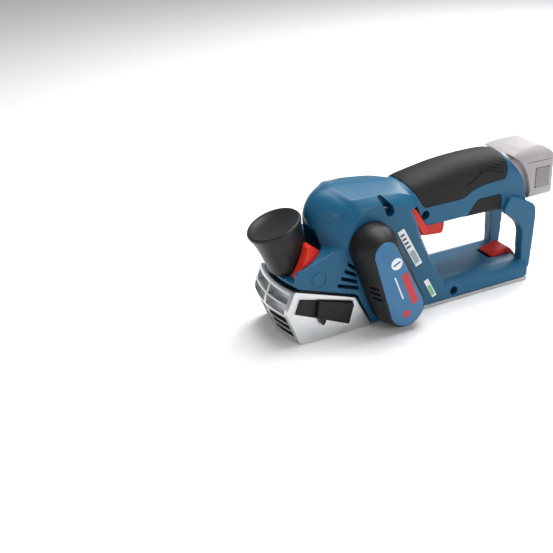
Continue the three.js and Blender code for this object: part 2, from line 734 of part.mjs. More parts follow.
function batteryPack() {
  const stem = beam(
    roundedSection(SOCKET.half - 0.4, SOCKET.low + 0.4, SOCKET.high - 0.4, SOCKET.corner - 0.4),
    SOCKET.front + 0.2, 234);
  const corner = 8;
  const plan = new THREE.Shape();
  plan.moveTo(200, -HANDLE_HALF);
  plan.lineTo(PACK.rear - corner, -HANDLE_HALF);
  plan.quadraticCurveTo(PACK.rear, -HANDLE_HALF, PACK.rear, corner - HANDLE_HALF);
  plan.lineTo(PACK.rear, HANDLE_HALF - corner);
  plan.quadraticCurveTo(PACK.rear, HANDLE_HALF, PACK.rear - corner, HANDLE_HALF);
  plan.lineTo(200, HANDLE_HALF);
  plan.closePath();
  const side = slabSolid(
    [[229, PACK.low], [250, PACK.low], [PACK.rear, 72], [PACK.rear, 100], [249, 110],
      [241, 115.5], [232, PACK.high], [206.5, PACK.high], [215.5, 109], [223.2, 95.5], [227.6, 80]],
    -30, 30);
  const section = roundedSection(HANDLE_HALF, PACK.low, PACK.high, PACK.corner);
  const base = plate(plan, 60, 120).intersect(side).intersect(beam(section, 200, PACK.rear));
  const pockets = [-1, 1].map((hand) => box(PACK.button - 0.4, PACK.button + 14.6, -3, 3, 80, 98)
    .translate([0, hand * 20, 0]));
  return cut(join(stem, base), ...pockets);
}

const buttonSolid = () => box(PACK.button, PACK.button + 14.2, -1.5, 1.5, 80.4, 97.6);

add("battery_pack", batteryPack(), PALE);
add("battery_button_left", buttonSolid(), PALE).position.y = -20.7;
add("battery_button_right", buttonSolid(), PALE).position.y = 20.7;

// ---- park rest ----

function parkRest() {
  const shape = [
    [200.5, 18.7], [208.5, 16.5], [208.5, 8], [214, 7.2], [224, 7.5], [227.4, 4.2], [229.3, 5.5],
    [228.6, 13], [222.5, 20.5], [219, 23.6], [207, 21.4],
  ];
  const hole = rod(PARK_PIVOT, 1.66, -20, 20, 14);
  return cut(slabSolid(shape, -TAIL_SLOT_HALF + 0.7, TAIL_SLOT_HALF - 0.7), hole);
}

add("park_rest", parkRest(), RED);
add("park_rest_pin", rod(PARK_PIVOT, 1.6, -14, 14, 14), STEEL);

// ---- chip outlet, labels and housing screws ----

function chipOutlet() {
  const oval = (reach) => {
    const shape = new THREE.Shape();
    shape.absarc(-6, 0, reach, Math.PI / 2, 1.5 * Math.PI);
    shape.absarc(6, 0, reach, -Math.PI / 2, Math.PI / 2);
    return shape;
  };
  const tube = toSolid(slab(oval(7), 31.4, 42)).subtract(toSolid(slab(oval(5.2), 30, 43)));
  return tube.rotate([0, 20, 0]).translate([51.5, 0, 41.5]);
}

add("chip_outlet", chipOutlet(), BLACK);
add("side_label", slabSolid([[89, 75.8], [95, 78.2], [113, 44.2], [107, 41.8]], -31.7, -31.3), WHITE);
add("rating_label", slabSolid([[115, 26.2], [119, 27.8], [128, 10.8], [124, 9.2]], -31.7, -31.3), WHITE);
SCREW_PLACES.forEach(({ x, z, face }, i) => {
  add(`housing_screw_${i + 1}`, screw(3, 2.4, 1.5, 12).translate(x, face, z), STEEL);
});

export default planer;
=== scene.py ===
"""A compact battery hand planer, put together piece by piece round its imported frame. Metres."""

import math

import bmesh
import bpy
import numpy as np
from mathutils import Matrix, Vector


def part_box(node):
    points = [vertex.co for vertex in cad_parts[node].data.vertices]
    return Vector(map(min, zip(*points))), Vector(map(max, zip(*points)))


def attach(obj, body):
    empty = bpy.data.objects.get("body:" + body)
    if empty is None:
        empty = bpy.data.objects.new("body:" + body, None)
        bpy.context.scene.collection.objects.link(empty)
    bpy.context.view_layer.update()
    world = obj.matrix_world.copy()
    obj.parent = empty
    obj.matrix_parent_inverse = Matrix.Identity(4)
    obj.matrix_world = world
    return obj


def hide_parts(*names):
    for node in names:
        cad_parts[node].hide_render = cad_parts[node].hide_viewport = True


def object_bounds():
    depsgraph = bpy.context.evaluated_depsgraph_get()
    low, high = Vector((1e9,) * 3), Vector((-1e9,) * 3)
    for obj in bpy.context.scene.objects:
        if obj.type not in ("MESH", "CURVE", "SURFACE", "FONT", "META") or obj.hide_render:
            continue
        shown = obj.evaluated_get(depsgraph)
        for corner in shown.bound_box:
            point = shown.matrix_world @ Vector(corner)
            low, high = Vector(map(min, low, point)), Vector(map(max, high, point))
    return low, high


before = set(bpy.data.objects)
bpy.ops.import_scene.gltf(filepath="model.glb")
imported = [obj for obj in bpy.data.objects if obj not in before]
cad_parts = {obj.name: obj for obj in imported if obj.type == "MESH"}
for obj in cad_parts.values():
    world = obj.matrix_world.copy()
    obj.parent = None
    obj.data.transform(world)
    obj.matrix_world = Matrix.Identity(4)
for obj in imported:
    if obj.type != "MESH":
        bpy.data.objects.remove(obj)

cad_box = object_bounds()

# ---- camera ----
# A short telephoto lens at the planer's front left, 0.7 m away. It looks down on the planer by 27
# degrees and is rolled by three.

AZIMUTH, ELEVATION, ROLL = (math.radians(a) for a in (-24.288, 26.688, -3.087))
DISTANCE = 0.708234
aim = Vector((-0.162852, 0.0, 0.048098))
back = Vector((
    math.sin(AZIMUTH) * math.cos(ELEVATION),
    -math.cos(AZIMUTH) * math.cos(ELEVATION),
    math.sin(ELEVATION),
))
level = Vector((math.cos(AZIMUTH), math.sin(AZIMUTH), 0.0))
upward = back.cross(level)
right = math.cos(ROLL) * level + math.sin(ROLL) * upward
top = math.cos(ROLL) * upward - math.sin(ROLL) * level
camera = bpy.data.objects.new("camera", bpy.data.cameras.new("camera"))
camera.data.lens = 58.40
camera.data.sensor_width = 36.0
camera.data.clip_start = 0.01
facing = Matrix((right, top, back)).transposed().to_4x4()
camera.matrix_world = Matrix.Translation(aim + DISTANCE * back) @ facing
bpy.context.scene.collection.objects.link(camera)
bpy.context.scene.camera = camera
bpy.context.scene.view_settings.view_transform = "Standard"

# ---- studio ----
# A seamless pale sweep under four soft boxes: overhead for the upper faces, beside the camera,
# behind on the right, and a weak strip for the nose. The tool's front stays darker.


def linear(code):
    """An sRGB hex colour as linear red, green, blue and alpha."""
    parts = [int(code[i:i + 2], 16) / 255 for i in (1, 3, 5)]
    return [c / 12.92 if c <= 0.04045 else ((c + 0.055) / 1.055) ** 2.4 for c in parts] + [1.0]


def add_node(tree, kind, inputs=None, **settings):
    """A node with its settings, and its inputs as values or as other nodes' outputs."""
    made = tree.nodes.new(kind)
    for name, value in settings.items():
        setattr(made, name, value)
    for socket, value in (inputs or {}).items():
        if isinstance(value, bpy.types.NodeSocket):
            tree.links.new(value, made.inputs[socket])
        else:
            made.inputs[socket].default_value = value
    return made


def new_material(name):
    """A material of that name, with its node tree and its principled shader."""
    material = bpy.data.materials.new(name)
    material.use_nodes = True
    return material, material.node_tree, material.node_tree.nodes["Principled BSDF"]


# Matt background paper, in two close whites.
sweep_paper, tree, shader = new_material("sweep_paper")
place = add_node(tree, "ShaderNodeTexCoord").outputs["Object"]
fibre = add_node(tree, "ShaderNodeTexNoise", {"Vector": place, "Scale": 40.0})
tint = add_node(tree, "ShaderNodeMix", {0: fibre.outputs[0], 6: linear("#f4f4f4"), 7: linear("#fafafa")},
                data_type="RGBA")
tree.links.new(tint.outputs[2], shader.inputs["Base Color"])
shader.inputs["Roughness"].default_value = 0.95

floor_mesh = bpy.data.meshes.new("floor")
reach = 9.0
floor_mesh.from_pydata([(-reach, -reach, 0), (reach, -reach, 0), (reach, reach, 0), (-reach, reach, 0)],
                       [], [(0, 1, 2, 3)])
floor_mesh.transform(Matrix.Translation((0, 0, cad_box[0].z - 0.0004)))
floor_mesh.materials.append(sweep_paper)
floor = bpy.data.objects.new("floor", floor_mesh)
bpy.context.scene.collection.objects.link(floor)

studio = bpy.data.worlds.new("studio")
studio.use_nodes = True
studio.node_tree.nodes["Background"].inputs["Color"].default_value = linear("#f2f6fa")
studio.node_tree.nodes["Background"].inputs["Strength"].default_value = 0.34
bpy.context.scene.world = studio

SOFT_BOXES = {
    "overhead": ((0.15, 0.15, 1.10), 0.8, 15.0),
    "camera_side": ((0.45, -1.30, 0.70), 0.6, 6.0),
    "right_back": ((0.95, 0.60, 0.75), 0.6, 8.0),
    "nose_strip": ((-1.15, -0.62, 0.42), 0.25, 1.2),
}
for name, (where, width, power) in SOFT_BOXES.items():
    lamp = bpy.data.lights.new(name, "AREA")
    lamp.shape = "SQUARE"
    lamp.size = width
    lamp.energy = power
    box_light = bpy.data.objects.new(name, lamp)
    box_light.location = where
    box_light.rotation_euler = (aim - Vector(where)).to_track_quat("-Z", "Y").to_euler()
    bpy.context.scene.collection.objects.link(box_light)

# ---- housing shells ----
# Two mirrored clamshells of blue glass-filled nylon, injection moulded and screwed together on the
# centre plane: motor hump, knob deck, pistol handle, two rear columns and the lower bar.

MM = 0.001
SOLE_HALF = 31.0
STATION_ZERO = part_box("rear_sole")[0].x - 97 * MM


def piece(name, points, faces):
    """A closed mesh from points in millimetres, X counted from the shoe's lower front corners."""
    placed = np.asarray(points, float).reshape(-1, 3) * MM
    placed[:, 0] += STATION_ZERO
    mesh = bpy.data.meshes.new(name)
    mesh.from_pydata(placed.tolist(), [], faces)
    shape = bmesh.new()
    shape.from_mesh(mesh)
    bmesh.ops.remove_doubles(shape, verts=shape.verts, dist=1e-7)
    bmesh.ops.recalc_face_normals(shape, faces=shape.faces)
    shape.to_mesh(mesh)
    shape.free()
    made = bpy.data.objects.new(name, mesh)
    bpy.context.scene.collection.objects.link(made)
    return made


def soft(corners, steps=5):
    """A closed outline with rounded corners: x, z and how far from the corner its round starts."""
    outline = []
    for i, (x, z, *start) in enumerate(corners):
        here = np.array((x, z), float)
        ends = []
        for other in (corners[i - 1], corners[(i + 1) % len(corners)]):
            edge = np.array(other[:2], float) - here
            run = np.linalg.norm(edge)
            ends.append(here + edge * min(0.499, (start[0] if start else run) / run))
        for t in np.linspace(0, 1, steps + 1):
            outline.append((1 - t) ** 2 * ends[0] + 2 * t * (1 - t) * here + t ** 2 * ends[1])
    return np.array(outline)


def loft(name, rings):
    """A skin through rings of equally many points, capped at both ends."""
    count = len(rings[0])
    last = (len(rings) - 1) * count
    faces = [tuple(range(count)), tuple(range(last, last + count))[::-1]]
    for start in range(0, last, count):
        for i in range(count):
            j = (i + 1) % count
            faces.append((start + i, start + count + i, start + count + j, start + j))
    return piece(name, np.concatenate(rings), faces)


def prism(name, outline, low, high, along="y"):
    """An outline drawn out straight: an XZ one along Y, an XY one along Z or a YZ one along X."""
    order = {"y": (0, 2, 1), "z": (0, 1, 2), "x": (1, 2, 0)}[along]
    rings = []
    for depth in (low, high):
        ring = np.empty((len(outline), 3))
        ring[:, order[0]], ring[:, order[1]] = np.asarray(outline, float)[:, :2].T
        ring[:, order[2]] = depth
        rings.append(ring)
    return loft(name, rings)


def turned(name, profile, centre, axis=(0, 1, 0), segments=64):
    """A lathe piece: radius and distance along an axis. It ends on the axis, or closes on itself."""
    axis = Vector(axis).normalized()
    across = axis.orthogonal().normalized()
    other = axis.cross(across)
    points, rings, faces = [], [], []
    for radius, along in profile:
        turns = segments if radius > 1e-6 else 1
        rings.append([len(points) + i for i in range(turns)])
        for i in range(turns):
            angle = 2 * math.pi * i / turns
            spoke = math.cos(angle) * across + math.sin(angle) * other
            points.append(Vector(centre) + along * axis + radius * spoke)
    pairs = list(zip(rings, rings[1:]))
    if profile[0][0] > 1e-6:
        pairs.append((rings[-1], rings[0]))
    for low, high in pairs:
        for i in range(segments):
            j = (i + 1) % segments
            loop = [low[i % len(low)], low[j % len(low)], high[j % len(high)], high[i % len(high)]]
            face = tuple(dict.fromkeys(loop))
            if len(face) > 2:
                faces.append(face)
    return piece(name, points, faces)


def rod(name, centre, radius, low, high, axis=(0, 1, 0), segments=48):
    """A plain round rod, most often a cutter for a bore."""
    return turned(name, [(0, low), (radius, low), (radius, high), (0, high)], centre, axis, segments)


def apply_all(target):
    """Turns a piece's modifiers into plain mesh."""
    depsgraph = bpy.context.evaluated_depsgraph_get()
    made = bpy.data.meshes.new_from_object(target.evaluated_get(depsgraph), depsgraph=depsgraph)
    target.modifiers.clear()
    target.data = made
    return target


def combine(operation, target, *tools):
    """Joins tools to a piece, cuts them from it, or keeps what they share, and uses them up."""
    for tool in tools:
        step = target.modifiers.new("combine", "BOOLEAN")
        step.operation = operation
        step.solver = "MANIFOLD"
        step.object = tool
    apply_all(target)
    for tool in tools:
        bpy.data.objects.remove(tool)
    return target


def copy_of(source, name):
    """A second object with its own mesh."""
    made = bpy.data.objects.new(name, source.data.copy())
    bpy.context.scene.collection.objects.link(made)
    return made


def melt(target, voxel, rounds):
    """Runs a piece's joints and edges together into one moulded skin of small faces."""
    skin = target.modifiers.new("skin", "REMESH")
    skin.mode = "VOXEL"
    skin.voxel_size = voxel * MM
    relax = target.modifiers.new("relax", "SMOOTH")
    relax.factor = 0.5
    relax.iterations = rounds
    return apply_all(target)


def ease(target, width, segments=2, angle=35):
    """Rounds a piece's edges."""
    step = target.modifiers.new("ease", "BEVEL")
    step.width = width * MM
    step.segments = segments
    step.limit_method = "ANGLE"
    step.angle_limit = math.radians(angle)
    return apply_all(target)


def fit(target, finish, body, slot, *nodes, crease=38):
    """Gives a piece its finish, and its place on the frame in place of the plain nodes."""
    target.data.materials.clear()
    target.data.materials.append(finish)
    target.data.shade_smooth()
    target.data.set_sharp_from_angle(angle=math.radians(crease))
    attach(target, body)
    if nodes:
        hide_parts(*nodes)
    return target


def moulded(name, colour, shade, roughness, grain, depth):
    """Injection moulded plastic: faint clouds of colour and gloss under a spark-eroded grain."""
    material, tree, shader = new_material(name)
    place = add_node(tree, "ShaderNodeTexCoord").outputs["Object"]
    cloud = add_node(tree, "ShaderNodeTexNoise", {"Vector": place, "Scale": 1 / (22 * MM), "Detail": 3.0})
    tint = add_node(tree, "ShaderNodeMix", {0: cloud.outputs[0], 6: linear(shade), 7: linear(colour)},
                    data_type="RGBA")
    gloss = add_node(tree, "ShaderNodeMapRange",
                     {0: cloud.outputs[0], 3: roughness - 0.05, 4: roughness + 0.05})
    pits = add_node(tree, "ShaderNodeTexNoise", {"Vector": place, "Scale": 1 / (grain * MM), "Detail": 2.0})
    skin = add_node(tree, "ShaderNodeBump", {"Height": pits.outputs[0], "Distance": depth * MM,
                                             "Strength": 0.35})
    tree.links.new(tint.outputs[2], shader.inputs["Base Color"])
    tree.links.new(gloss.outputs[0], shader.inputs["Roughness"])
    tree.links.new(skin.outputs[0], shader.inputs["Normal"])
    shader.inputs["IOR"].default_value = 1.5
    shader.inputs["Specular IOR Level"].default_value = 0.3
    return material


# Glass-filled nylon, moulded with a fine grain: a satin blue that goes pale where it faces the light.
blue_nylon = moulded("blue_nylon", "#175d80", "#125372", 0.42, 0.9, 0.03)
blue_nylon.node_tree.nodes["Principled BSDF"].inputs["Coat Weight"].default_value = 0.05

DRUM = (84.0, 0.0, 21.0)
MOTOR = (64.5, 0.0, 72.5)
KNOB_SEAT = (9.1, 0.0, 57.0)
KNOB_TILT = math.radians(18.9)
KNOB_AXIS = (-math.sin(KNOB_TILT), 0.0, math.cos(KNOB_TILT))
CREASE = 0.77
SHOE_FALL = 0.355


def shoe_top(x):
    """Height of the front shoe's sloping upper edge."""
    return 47.5 - SHOE_FALL * (x + 2)


def hump():
    """The motor hump: nearly flat out to a crease on each side, then falling away to the flank.

    Each corner gives the middle outline's x, z and rounding, the flank's x and z, and the share
    of the way to the flank at which the crease lies.
    """
    corners = [
        (67, 1.2, 1, 67, 1.2, 0.3), (96.5, 1.2, 0.5, 96.5, 1.2, 0.3),
        (96.5, 3.3, 0.5, 96.5, 3.3, 0.3), (143, 3.3, 3, 140, 3.3, 0.3),
        (136, 24, 12, 132, 26, 0.3), (125, 48, 10, 118, 48, 0.3), (118, 66, 9, 109, 68, 0.3),
        (122, 86, 10, 104, 84, 0.35), (114, 104, 9, 98, 93, 0.35),
        (104, 108.6, 8, 91, 98, 0.35), (88, 109.6, 10, 82, 101, 0.32),
        (70, 112.2, 12, 70, 102.5, 0.34), (45, 115.2, 3, 57, 99, 0.44),
        (31, 111, 8, 52.5, 91, 0.5), (22.6, 100, 9, 47.5, 82, 0.6),
        (22.3, 80, 10, 43.5, 73, 0.66), (29, 58, 10, 38, 57, 0.66),
        (44, 34.6, 5, 44, 34.6, 0.4), (52.5, 31.6, 3, 52.5, 31.6, 0.4),
    ]
    steps = 8
    middle = soft([c[:3] for c in corners], steps)
    flank = soft([c[3:5] + c[2:3] for c in corners], steps)
    share = np.repeat([c[5] for c in corners], steps + 1)
    # The crease drifts from one corner's share to the next, right round the outline.
    window = np.ones(steps + 1) / (steps + 1)
    share = np.convolve(np.tile(share, 3), window, "same")[len(share):2 * len(share)]
    rings = []
    for level in np.concatenate([np.linspace(0.04, CREASE, 20), CREASE + (1 - CREASE)
                                 * np.sin(np.linspace(0.12, math.pi / 2, 9))]):
        if level <= CREASE:
            blend = share * (level / CREASE) ** 1.4
        else:
            out = (level - CREASE) / (1 - CREASE)
            blend = share + (1 - share) * (0.72 * out + 0.28 * (1 - math.sqrt(1 - out * out)))
        outline = middle + (flank - middle) * blend[:, None]
        rings.append(np.stack([outline[:, 0], np.full(len(outline), level * SOLE_HALF), outline[:, 1]], 1))
    return loft("hump", [ring * (1, -1, 1) for ring in rings[::-1]] + rings)


def handle(name, inset):
    """The pistol handle's oval bar, thinner all round by an inset."""
    corners = [
        (118, 66, 118, 72), (150, 65.5, 150, 72), (185, 65, 185, 72), (215, 62, 213, 70),
        (227, 62, 224, 70), (225.5, 80, 222, 82), (221, 95, 218, 92), (213, 108, 211, 98),
        (203, 115.8, 203, 102), (190, 117.1, 190, 103), (165, 116.9, 165, 102),
        (145, 115.4, 145, 100.5), (125, 112, 125, 98), (106, 108.8, 112, 95),
        (100, 100, 104, 92), (105, 75, 108, 78),
    ]
    squeeze = [[(x, z - inset * math.copysign(1, z - 88)) for x, z in (c[:2], c[2:])] for c in corners]
    middle, side = (soft([c[k] for c in squeeze]) for k in (0, 1))
    rings = []
    for turn in np.linspace(0.05, math.pi / 2, 14):
        level = math.sin(turn)
        outline = middle + (side - middle) * (1 - math.cos(turn))
        y = np.full(len(outline), level * (21.5 - inset))
        rings.append(np.stack([outline[:, 0], y, outline[:, 1]], 1))
    return loft(name, [ring * (1, -1, 1) for ring in rings[::-1]] + rings)


def bow_forward(points):
    """Bows the front end forward towards the middle, as the shoe's nose is bowed."""
    fade = np.clip((14 - points[:, 0]) / 10, 0, 1)
    points[:, 0] -= 5 * (1 - (points[:, 1] / SOLE_HALF) ** 2) * fade
    return points


def bowed_prism(name, outline, half, slices=24):
    """A side outline drawn across the tool with its front bowed forward."""
    rings = []
    for y in np.linspace(-half, half, slices + 1):
        ring = np.stack([outline[:, 0], np.full(len(outline), y), outline[:, 1]], 1)
        rings.append(bow_forward(ring))
    return loft(name, rings)


def deck_top(x):
    """Height of the deck's rim round the knob."""
    return 57 - 0.65 + 8.6 + (x - 9.1) * math.tan(KNOB_TILT)


def knob_rooms():
    """The recess round the knob's foot, wider where the lock lever swings, and the bight above it."""
    sector = [(0, 0)] + [(60 * math.cos(a), 60 * math.sin(a)) for a in np.radians((-124, -48, 16))]
    across = Vector((math.cos(KNOB_TILT), 0, math.sin(KNOB_TILT)))
    rings = []
    for height in (-1.0, 22.0):
        rings.append([Vector(KNOB_SEAT) + height * Vector(KNOB_AXIS) + u * across + Vector((0, v, 0))
                      for u, v in sector])
    wedge = loft("wedge", rings)
    lever_room = combine("INTERSECT", rod("lever_room", KNOB_SEAT, 28, -0.65, 21, KNOB_AXIS), wedge)
    return [
        lever_room,
        rod("knob_room", KNOB_SEAT, 20.2, -0.65, 21, KNOB_AXIS),
        turned("knob_bight", [(0, 19), (24.6, 20), (25.5, 40), (25.5, 80), (0, 80)], KNOB_SEAT, KNOB_AXIS),
    ]


def lower_bar():
    """The beam along the rear sole, chamfered above and bowed at its tail."""
    section = soft([(-31, 3.3, 0.6), (31, 3.3, 0.6), (31, 12.5, 2), (29, 15.4, 2), (20.5, 18.2, 3),
                    (-20.5, 18.2, 3), (-29, 15.4, 2), (-31, 12.5, 2)], 3)
    rings = []
    for x in np.linspace(110, 223, 12):
        tail = np.clip((x - 203) / 20, 0, 1) * 7 * (1 - (section[:, 0] / SOLE_HALF) ** 2)
        rings.append(np.stack([x + tail, section[:, 0], section[:, 1]], 1))
    return loft("lower_bar", rings)


def column(side):
    """A rear column, swept up from the bar's tail into the end of the handle."""
    outline = soft([(219.5, 8, 2), (229, 8, 2), (230.2, 20), (232.6, 56), (231.4, 67, 5), (212, 77.5, 9),
                    (204, 80, 4), (197, 67, 4), (204, 62.5, 8), (219, 49, 9)])
    return prism("column", outline, *sorted((side * 17.2, side * 26)))


shell = hump()
deck_outline = soft([(0.8, shoe_top(0.8) + 2.6, 0.6), (52.5, shoe_top(52.5) + 2.6, 2), (66.6, 1.2, 2),
                     (76, 1.2, 2), (62, 64, 8), (36, deck_top(36), 6), (0.8, deck_top(0.8), 1.4)], 4)
combine("UNION", shell, handle("bar", 0), lower_bar(), column(-1), column(1),
        bowed_prism("deck", deck_outline, SOLE_HALF),
        rod("drum_boss_left", DRUM, 14, -36, -28), rod("drum_boss_right", DRUM, 13.5, 28, 36))
combine("DIFFERENCE", shell, *knob_rooms())
melt(shell, 0.75, 2)

# What the two shells hold: the grip's shallow bed, rooms for motor, cutter, shoe, switch and pack,
# bearing seats, screw wells, vents and the slots of the moving levers.

GRIP_THICK = 1.6
CLEAR = 0.3


def grip_region(clear):
    """The side outline of the rubber on the handle's back."""
    corners = [(106 - clear, 126, 1), (106 - clear, 110, 2), (121 - clear, 86.5 - clear, 3),
               (160, 86.5 - clear, 6), (167, 91.5 - clear, 4), (178, 94.5 - clear, 6),
               (201 + clear, 95.5 - clear, 3), (205 + clear, 126, 1)]
    return prism("grip_region", soft(corners), -40, 40)


def insert_region(clear):
    """The side outline of the rubber under the handle's rear."""
    corners = [(163 - clear, 50, 1), (163 - clear, 69.5, 2), (173, 82.5 + clear, 4),
               (197.5 + clear, 82.5 + clear, 4), (197.5 + clear, 50, 1)]
    return prism("insert_region", soft(corners), -40, 40)


def box(name, x, y, z):
    """A plain block, most often a cutter, from its lowest and highest x, y and z."""
    return prism(name, [(x[0], z[0]), (x[1], z[0]), (x[1], z[1]), (x[0], z[1])], *y)


def rounded_bar(name, x, half, low, high, corner):
    """A beam along X with a rounded section."""
    section = soft([(-half, low, corner), (half, low, corner), (half, high, corner), (-half, high, corner)], 8)
    return prism(name, section, *x, along="x")


def set_inputs(target, tree, **values):
    """Puts a node tree on a piece and sets the tree's named inputs."""
    step = target.modifiers.new(tree.name, "NODES")
    step.node_group = tree
    for item in tree.interface.items_tree:
        if item.item_type == "SOCKET" and item.in_out == "INPUT" and item.name in values:
            step[item.identifier] = values[item.name]
    return step


def row_tree():
    """Repeats the piece it is put on in a straight row, each copy shorter or longer along X."""
    tree = bpy.data.node_groups.new("row", "GeometryNodeTree")
    sockets = [("Geometry", "Geometry"), ("Count", "Int"), ("Start", "Vector"), ("Step", "Vector"),
               ("Stretch", "Float"), ("Finish", "Material")]
    for name, kind in sockets:
        tree.interface.new_socket(name, in_out="INPUT", socket_type="NodeSocket" + kind)
    tree.interface.new_socket("Geometry", in_out="OUTPUT", socket_type="NodeSocketGeometry")
    given = add_node(tree, "NodeGroupInput").outputs
    line = add_node(tree, "GeometryNodeMeshLine", {"Count": given["Count"], "Start Location": given["Start"],
                                                   "Offset": given["Step"]})
    index = add_node(tree, "GeometryNodeInputIndex")
    share = add_node(tree, "ShaderNodeMath", {0: index.outputs[0], 1: given["Stretch"], 2: 1.0},
                     operation="MULTIPLY_ADD")
    scale = add_node(tree, "ShaderNodeCombineXYZ", {"X": share.outputs[0], "Y": 1.0, "Z": 1.0})
    copies = add_node(tree, "GeometryNodeInstanceOnPoints", {
        "Points": line.outputs[0], "Instance": given["Geometry"], "Scale": scale.outputs[0]})
    real = add_node(tree, "GeometryNodeRealizeInstances", {"Geometry": copies.outputs[0]})
    done = add_node(tree, "GeometryNodeSetMaterial", {"Geometry": real.outputs[0],
                                                      "Material": given["Finish"]})
    add_node(tree, "NodeGroupOutput", {0: done.outputs[0]})
    return tree


rows = row_tree()


def in_row(target, count, step, finish):
    """Repeats a piece in a straight row that begins at its own place, as one mesh. Millimetres."""
    set_inputs(target, rows, Count=count, Start=Vector((0, 0, 0)), Step=Vector(step) * MM, Stretch=0.0,
               Finish=finish)
    return apply_all(target)


def slot_row(name, length, height, depth, slope, count, start, step, stretch):
    """A row of round-ended slot cutters, each starting at its front end. Millimetres."""
    run, drop = length * math.cos(slope), length * math.sin(slope)
    corners = [(0, 0, 0.9), (run, drop, 0.9), (run, drop + height, 0.9), (0, height, 0.9)]
    cutter = prism(name, soft(corners, 3), 0, depth)
    cutter.data.transform(Matrix.Translation((-STATION_ZERO, 0, 0)))
    first = Vector(start) * MM + Vector((STATION_ZERO, 0, 0))
    set_inputs(cutter, rows, Count=count, Start=first, Step=Vector(step) * MM, Stretch=stretch,
               Finish=blue_nylon)
    return apply_all(cutter)


def outlet_oval(name, radius, low, high):
    """The oval bar of the chip outlet, tipped back by twenty degrees, across the right flank."""
    outline = []
    tip = math.radians(20)
    for t in np.linspace(0, 2 * math.pi, 64, endpoint=False) + 0.01:
        x, z = radius * math.cos(t) + math.copysign(6, math.cos(t)), radius * math.sin(t)
        outline.append((51.5 + x * math.cos(tip) + z * math.sin(tip),
                        41.5 + z * math.cos(tip) - x * math.sin(tip)))
    return prism(name, outline, low, high)


SCREW_WELLS = [(82.5, 95.0, -24.0), (122.0, 80.0, -15.5), (146.0, 9.2, -26.0)]
FIRST_SOLE_SCREW = (116, -22, 0)
PARK_PIN = (212, 0, 11)
SHOE_SLOPE = math.atan(-SHOE_FALL)


def at_sole_screws(target, finish):
    """Repeats a piece, drawn at the first sole screw, at all four of them."""
    return in_row(in_row(target, 2, (76, 0, 0), finish), 2, (0, 44, 0), finish)


bed = combine("DIFFERENCE", handle("bed", -1.5), handle("core", GRIP_THICK + CLEAR))
cutters = [
    combine("INTERSECT", copy_of(bed, "grip_bed"), grip_region(CLEAR)),
    combine("INTERSECT", bed, insert_region(CLEAR)),
    rod("motor_room", MOTOR, 24.5, -23.7, 26.5), rod("drum_room", DRUM, 23, -28.6, 28.6),
    box("mouth", (60, 97), (-28.6, 28.6), (-1, 20)),
    prism("chip_channel", [(44, 40), (56, 35), (64, 26), (70, 42), (58, 47.6), (46, 47.6)], -20, 28.5),
    outlet_oval("chip_way", 5.2, 28, 33),
    prism("shoe_room", [(5, 28), (47.5, 28), (43, 41), (38, 52), (33, 61.3), (5, 51.6)], -28, 28),
    box("switch_room", (128, 147), (-11, 11), (77, 104)),
    box("trigger_slot", (121.5, 154), (-7.8, 7.8), (50, 78)),
    box("board_room", (150, 196), (-18.4, 18.4), (6, 13.5)),
    box("park_slot", (198, 240), (-9.4, 9.4), (0, 30)),
    rounded_bar("pack_socket", (146.7, 240), 17.6, 70.6, 112.4, 12),
    rod("motor_seat_left", MOTOR, 8.3, -30, -20), rod("motor_shaft_way", MOTOR, 3.4, -34, 30.3),
    rod("motor_seat_right", MOTOR, 8.3, 20, 30.4), rod("drum_seat_left", DRUM, 10.8, -34.3, -20),
    rod("drum_shaft_way", DRUM, 5, -40, 0), rod("drum_seat_right", DRUM, 10.8, 20, 34.3),
    rod("spindle_way", KNOB_SEAT, 4.6, -20, 20, KNOB_AXIS), rod("park_pin_way", PARK_PIN, 1.9, -14.3, 14.3),
    prism("lock_off_pocket", [(102.6, 91.5), (116.6, 59), (127, 64), (111, 91.5)], -40, -16),
    slot_row("vents", 20, 3.4, 9, SHOE_SLOPE, 4, (35.0, -32.5, 41.5), (3.1, 0, 5.6), -0.2),
    turned("ring_mark", [(5.7, -32), (6.7, -32), (6.7, -30.55), (5.7, -30.55)], (18.5, 0, 52.7)),
]
for x, z, face in SCREW_WELLS:
    cutters.append(rod("well", (x, 0, z), 3.9, -40, face + 2.8))
    cutters.append(rod("thread", (x, 0, z), 1.9, face, 16, segments=24))
# The well in the hump ends in a teardrop, where its tool way runs out through the sloping shoulder.
cutters.append(prism("teardrop", soft([(73.5, 107.5, 1.5), (77.5, 108.5, 2), (86.6, 97.5, 4), (82.5, 91, 4),
                                          (78.4, 95.5, 3)]), -40, -21))
sole_screw_well = turned("sole_screw_well", [(0, 0), (3.9, 0), (1.9, 2.6), (1.9, 11.3), (0, 11.3)],
                         FIRST_SOLE_SCREW, (0, 0, 1), 24)
cutters.append(at_sole_screws(sole_screw_well, blue_nylon))
combine("DIFFERENCE", shell, *cutters)
PARTING = 0.12
for side, name in ((-1, "left"), (1, "right")):
    half = box("half", (-50, 300), sorted((side * PARTING / 2, side * 80)), (-20, 150))
    shell_half = combine("INTERSECT", copy_of(shell, "shell_" + name), half)
    fit(shell_half, blue_nylon, "housing", "housing_blue", "housing_" + name)
bpy.data.objects.remove(shell)

# ---- rubber grip and inserts ----
# Soft thermoplastic rubber moulded over the nylon, nearly flush with it. Contour lines are
# engraved in the palm's side of the grip.

# Thermoplastic rubber: near black and matt, with an even fine grain.
soft_rubber = moulded("soft_rubber", "#151516", "#101011", 0.62, 0.7, 0.05)


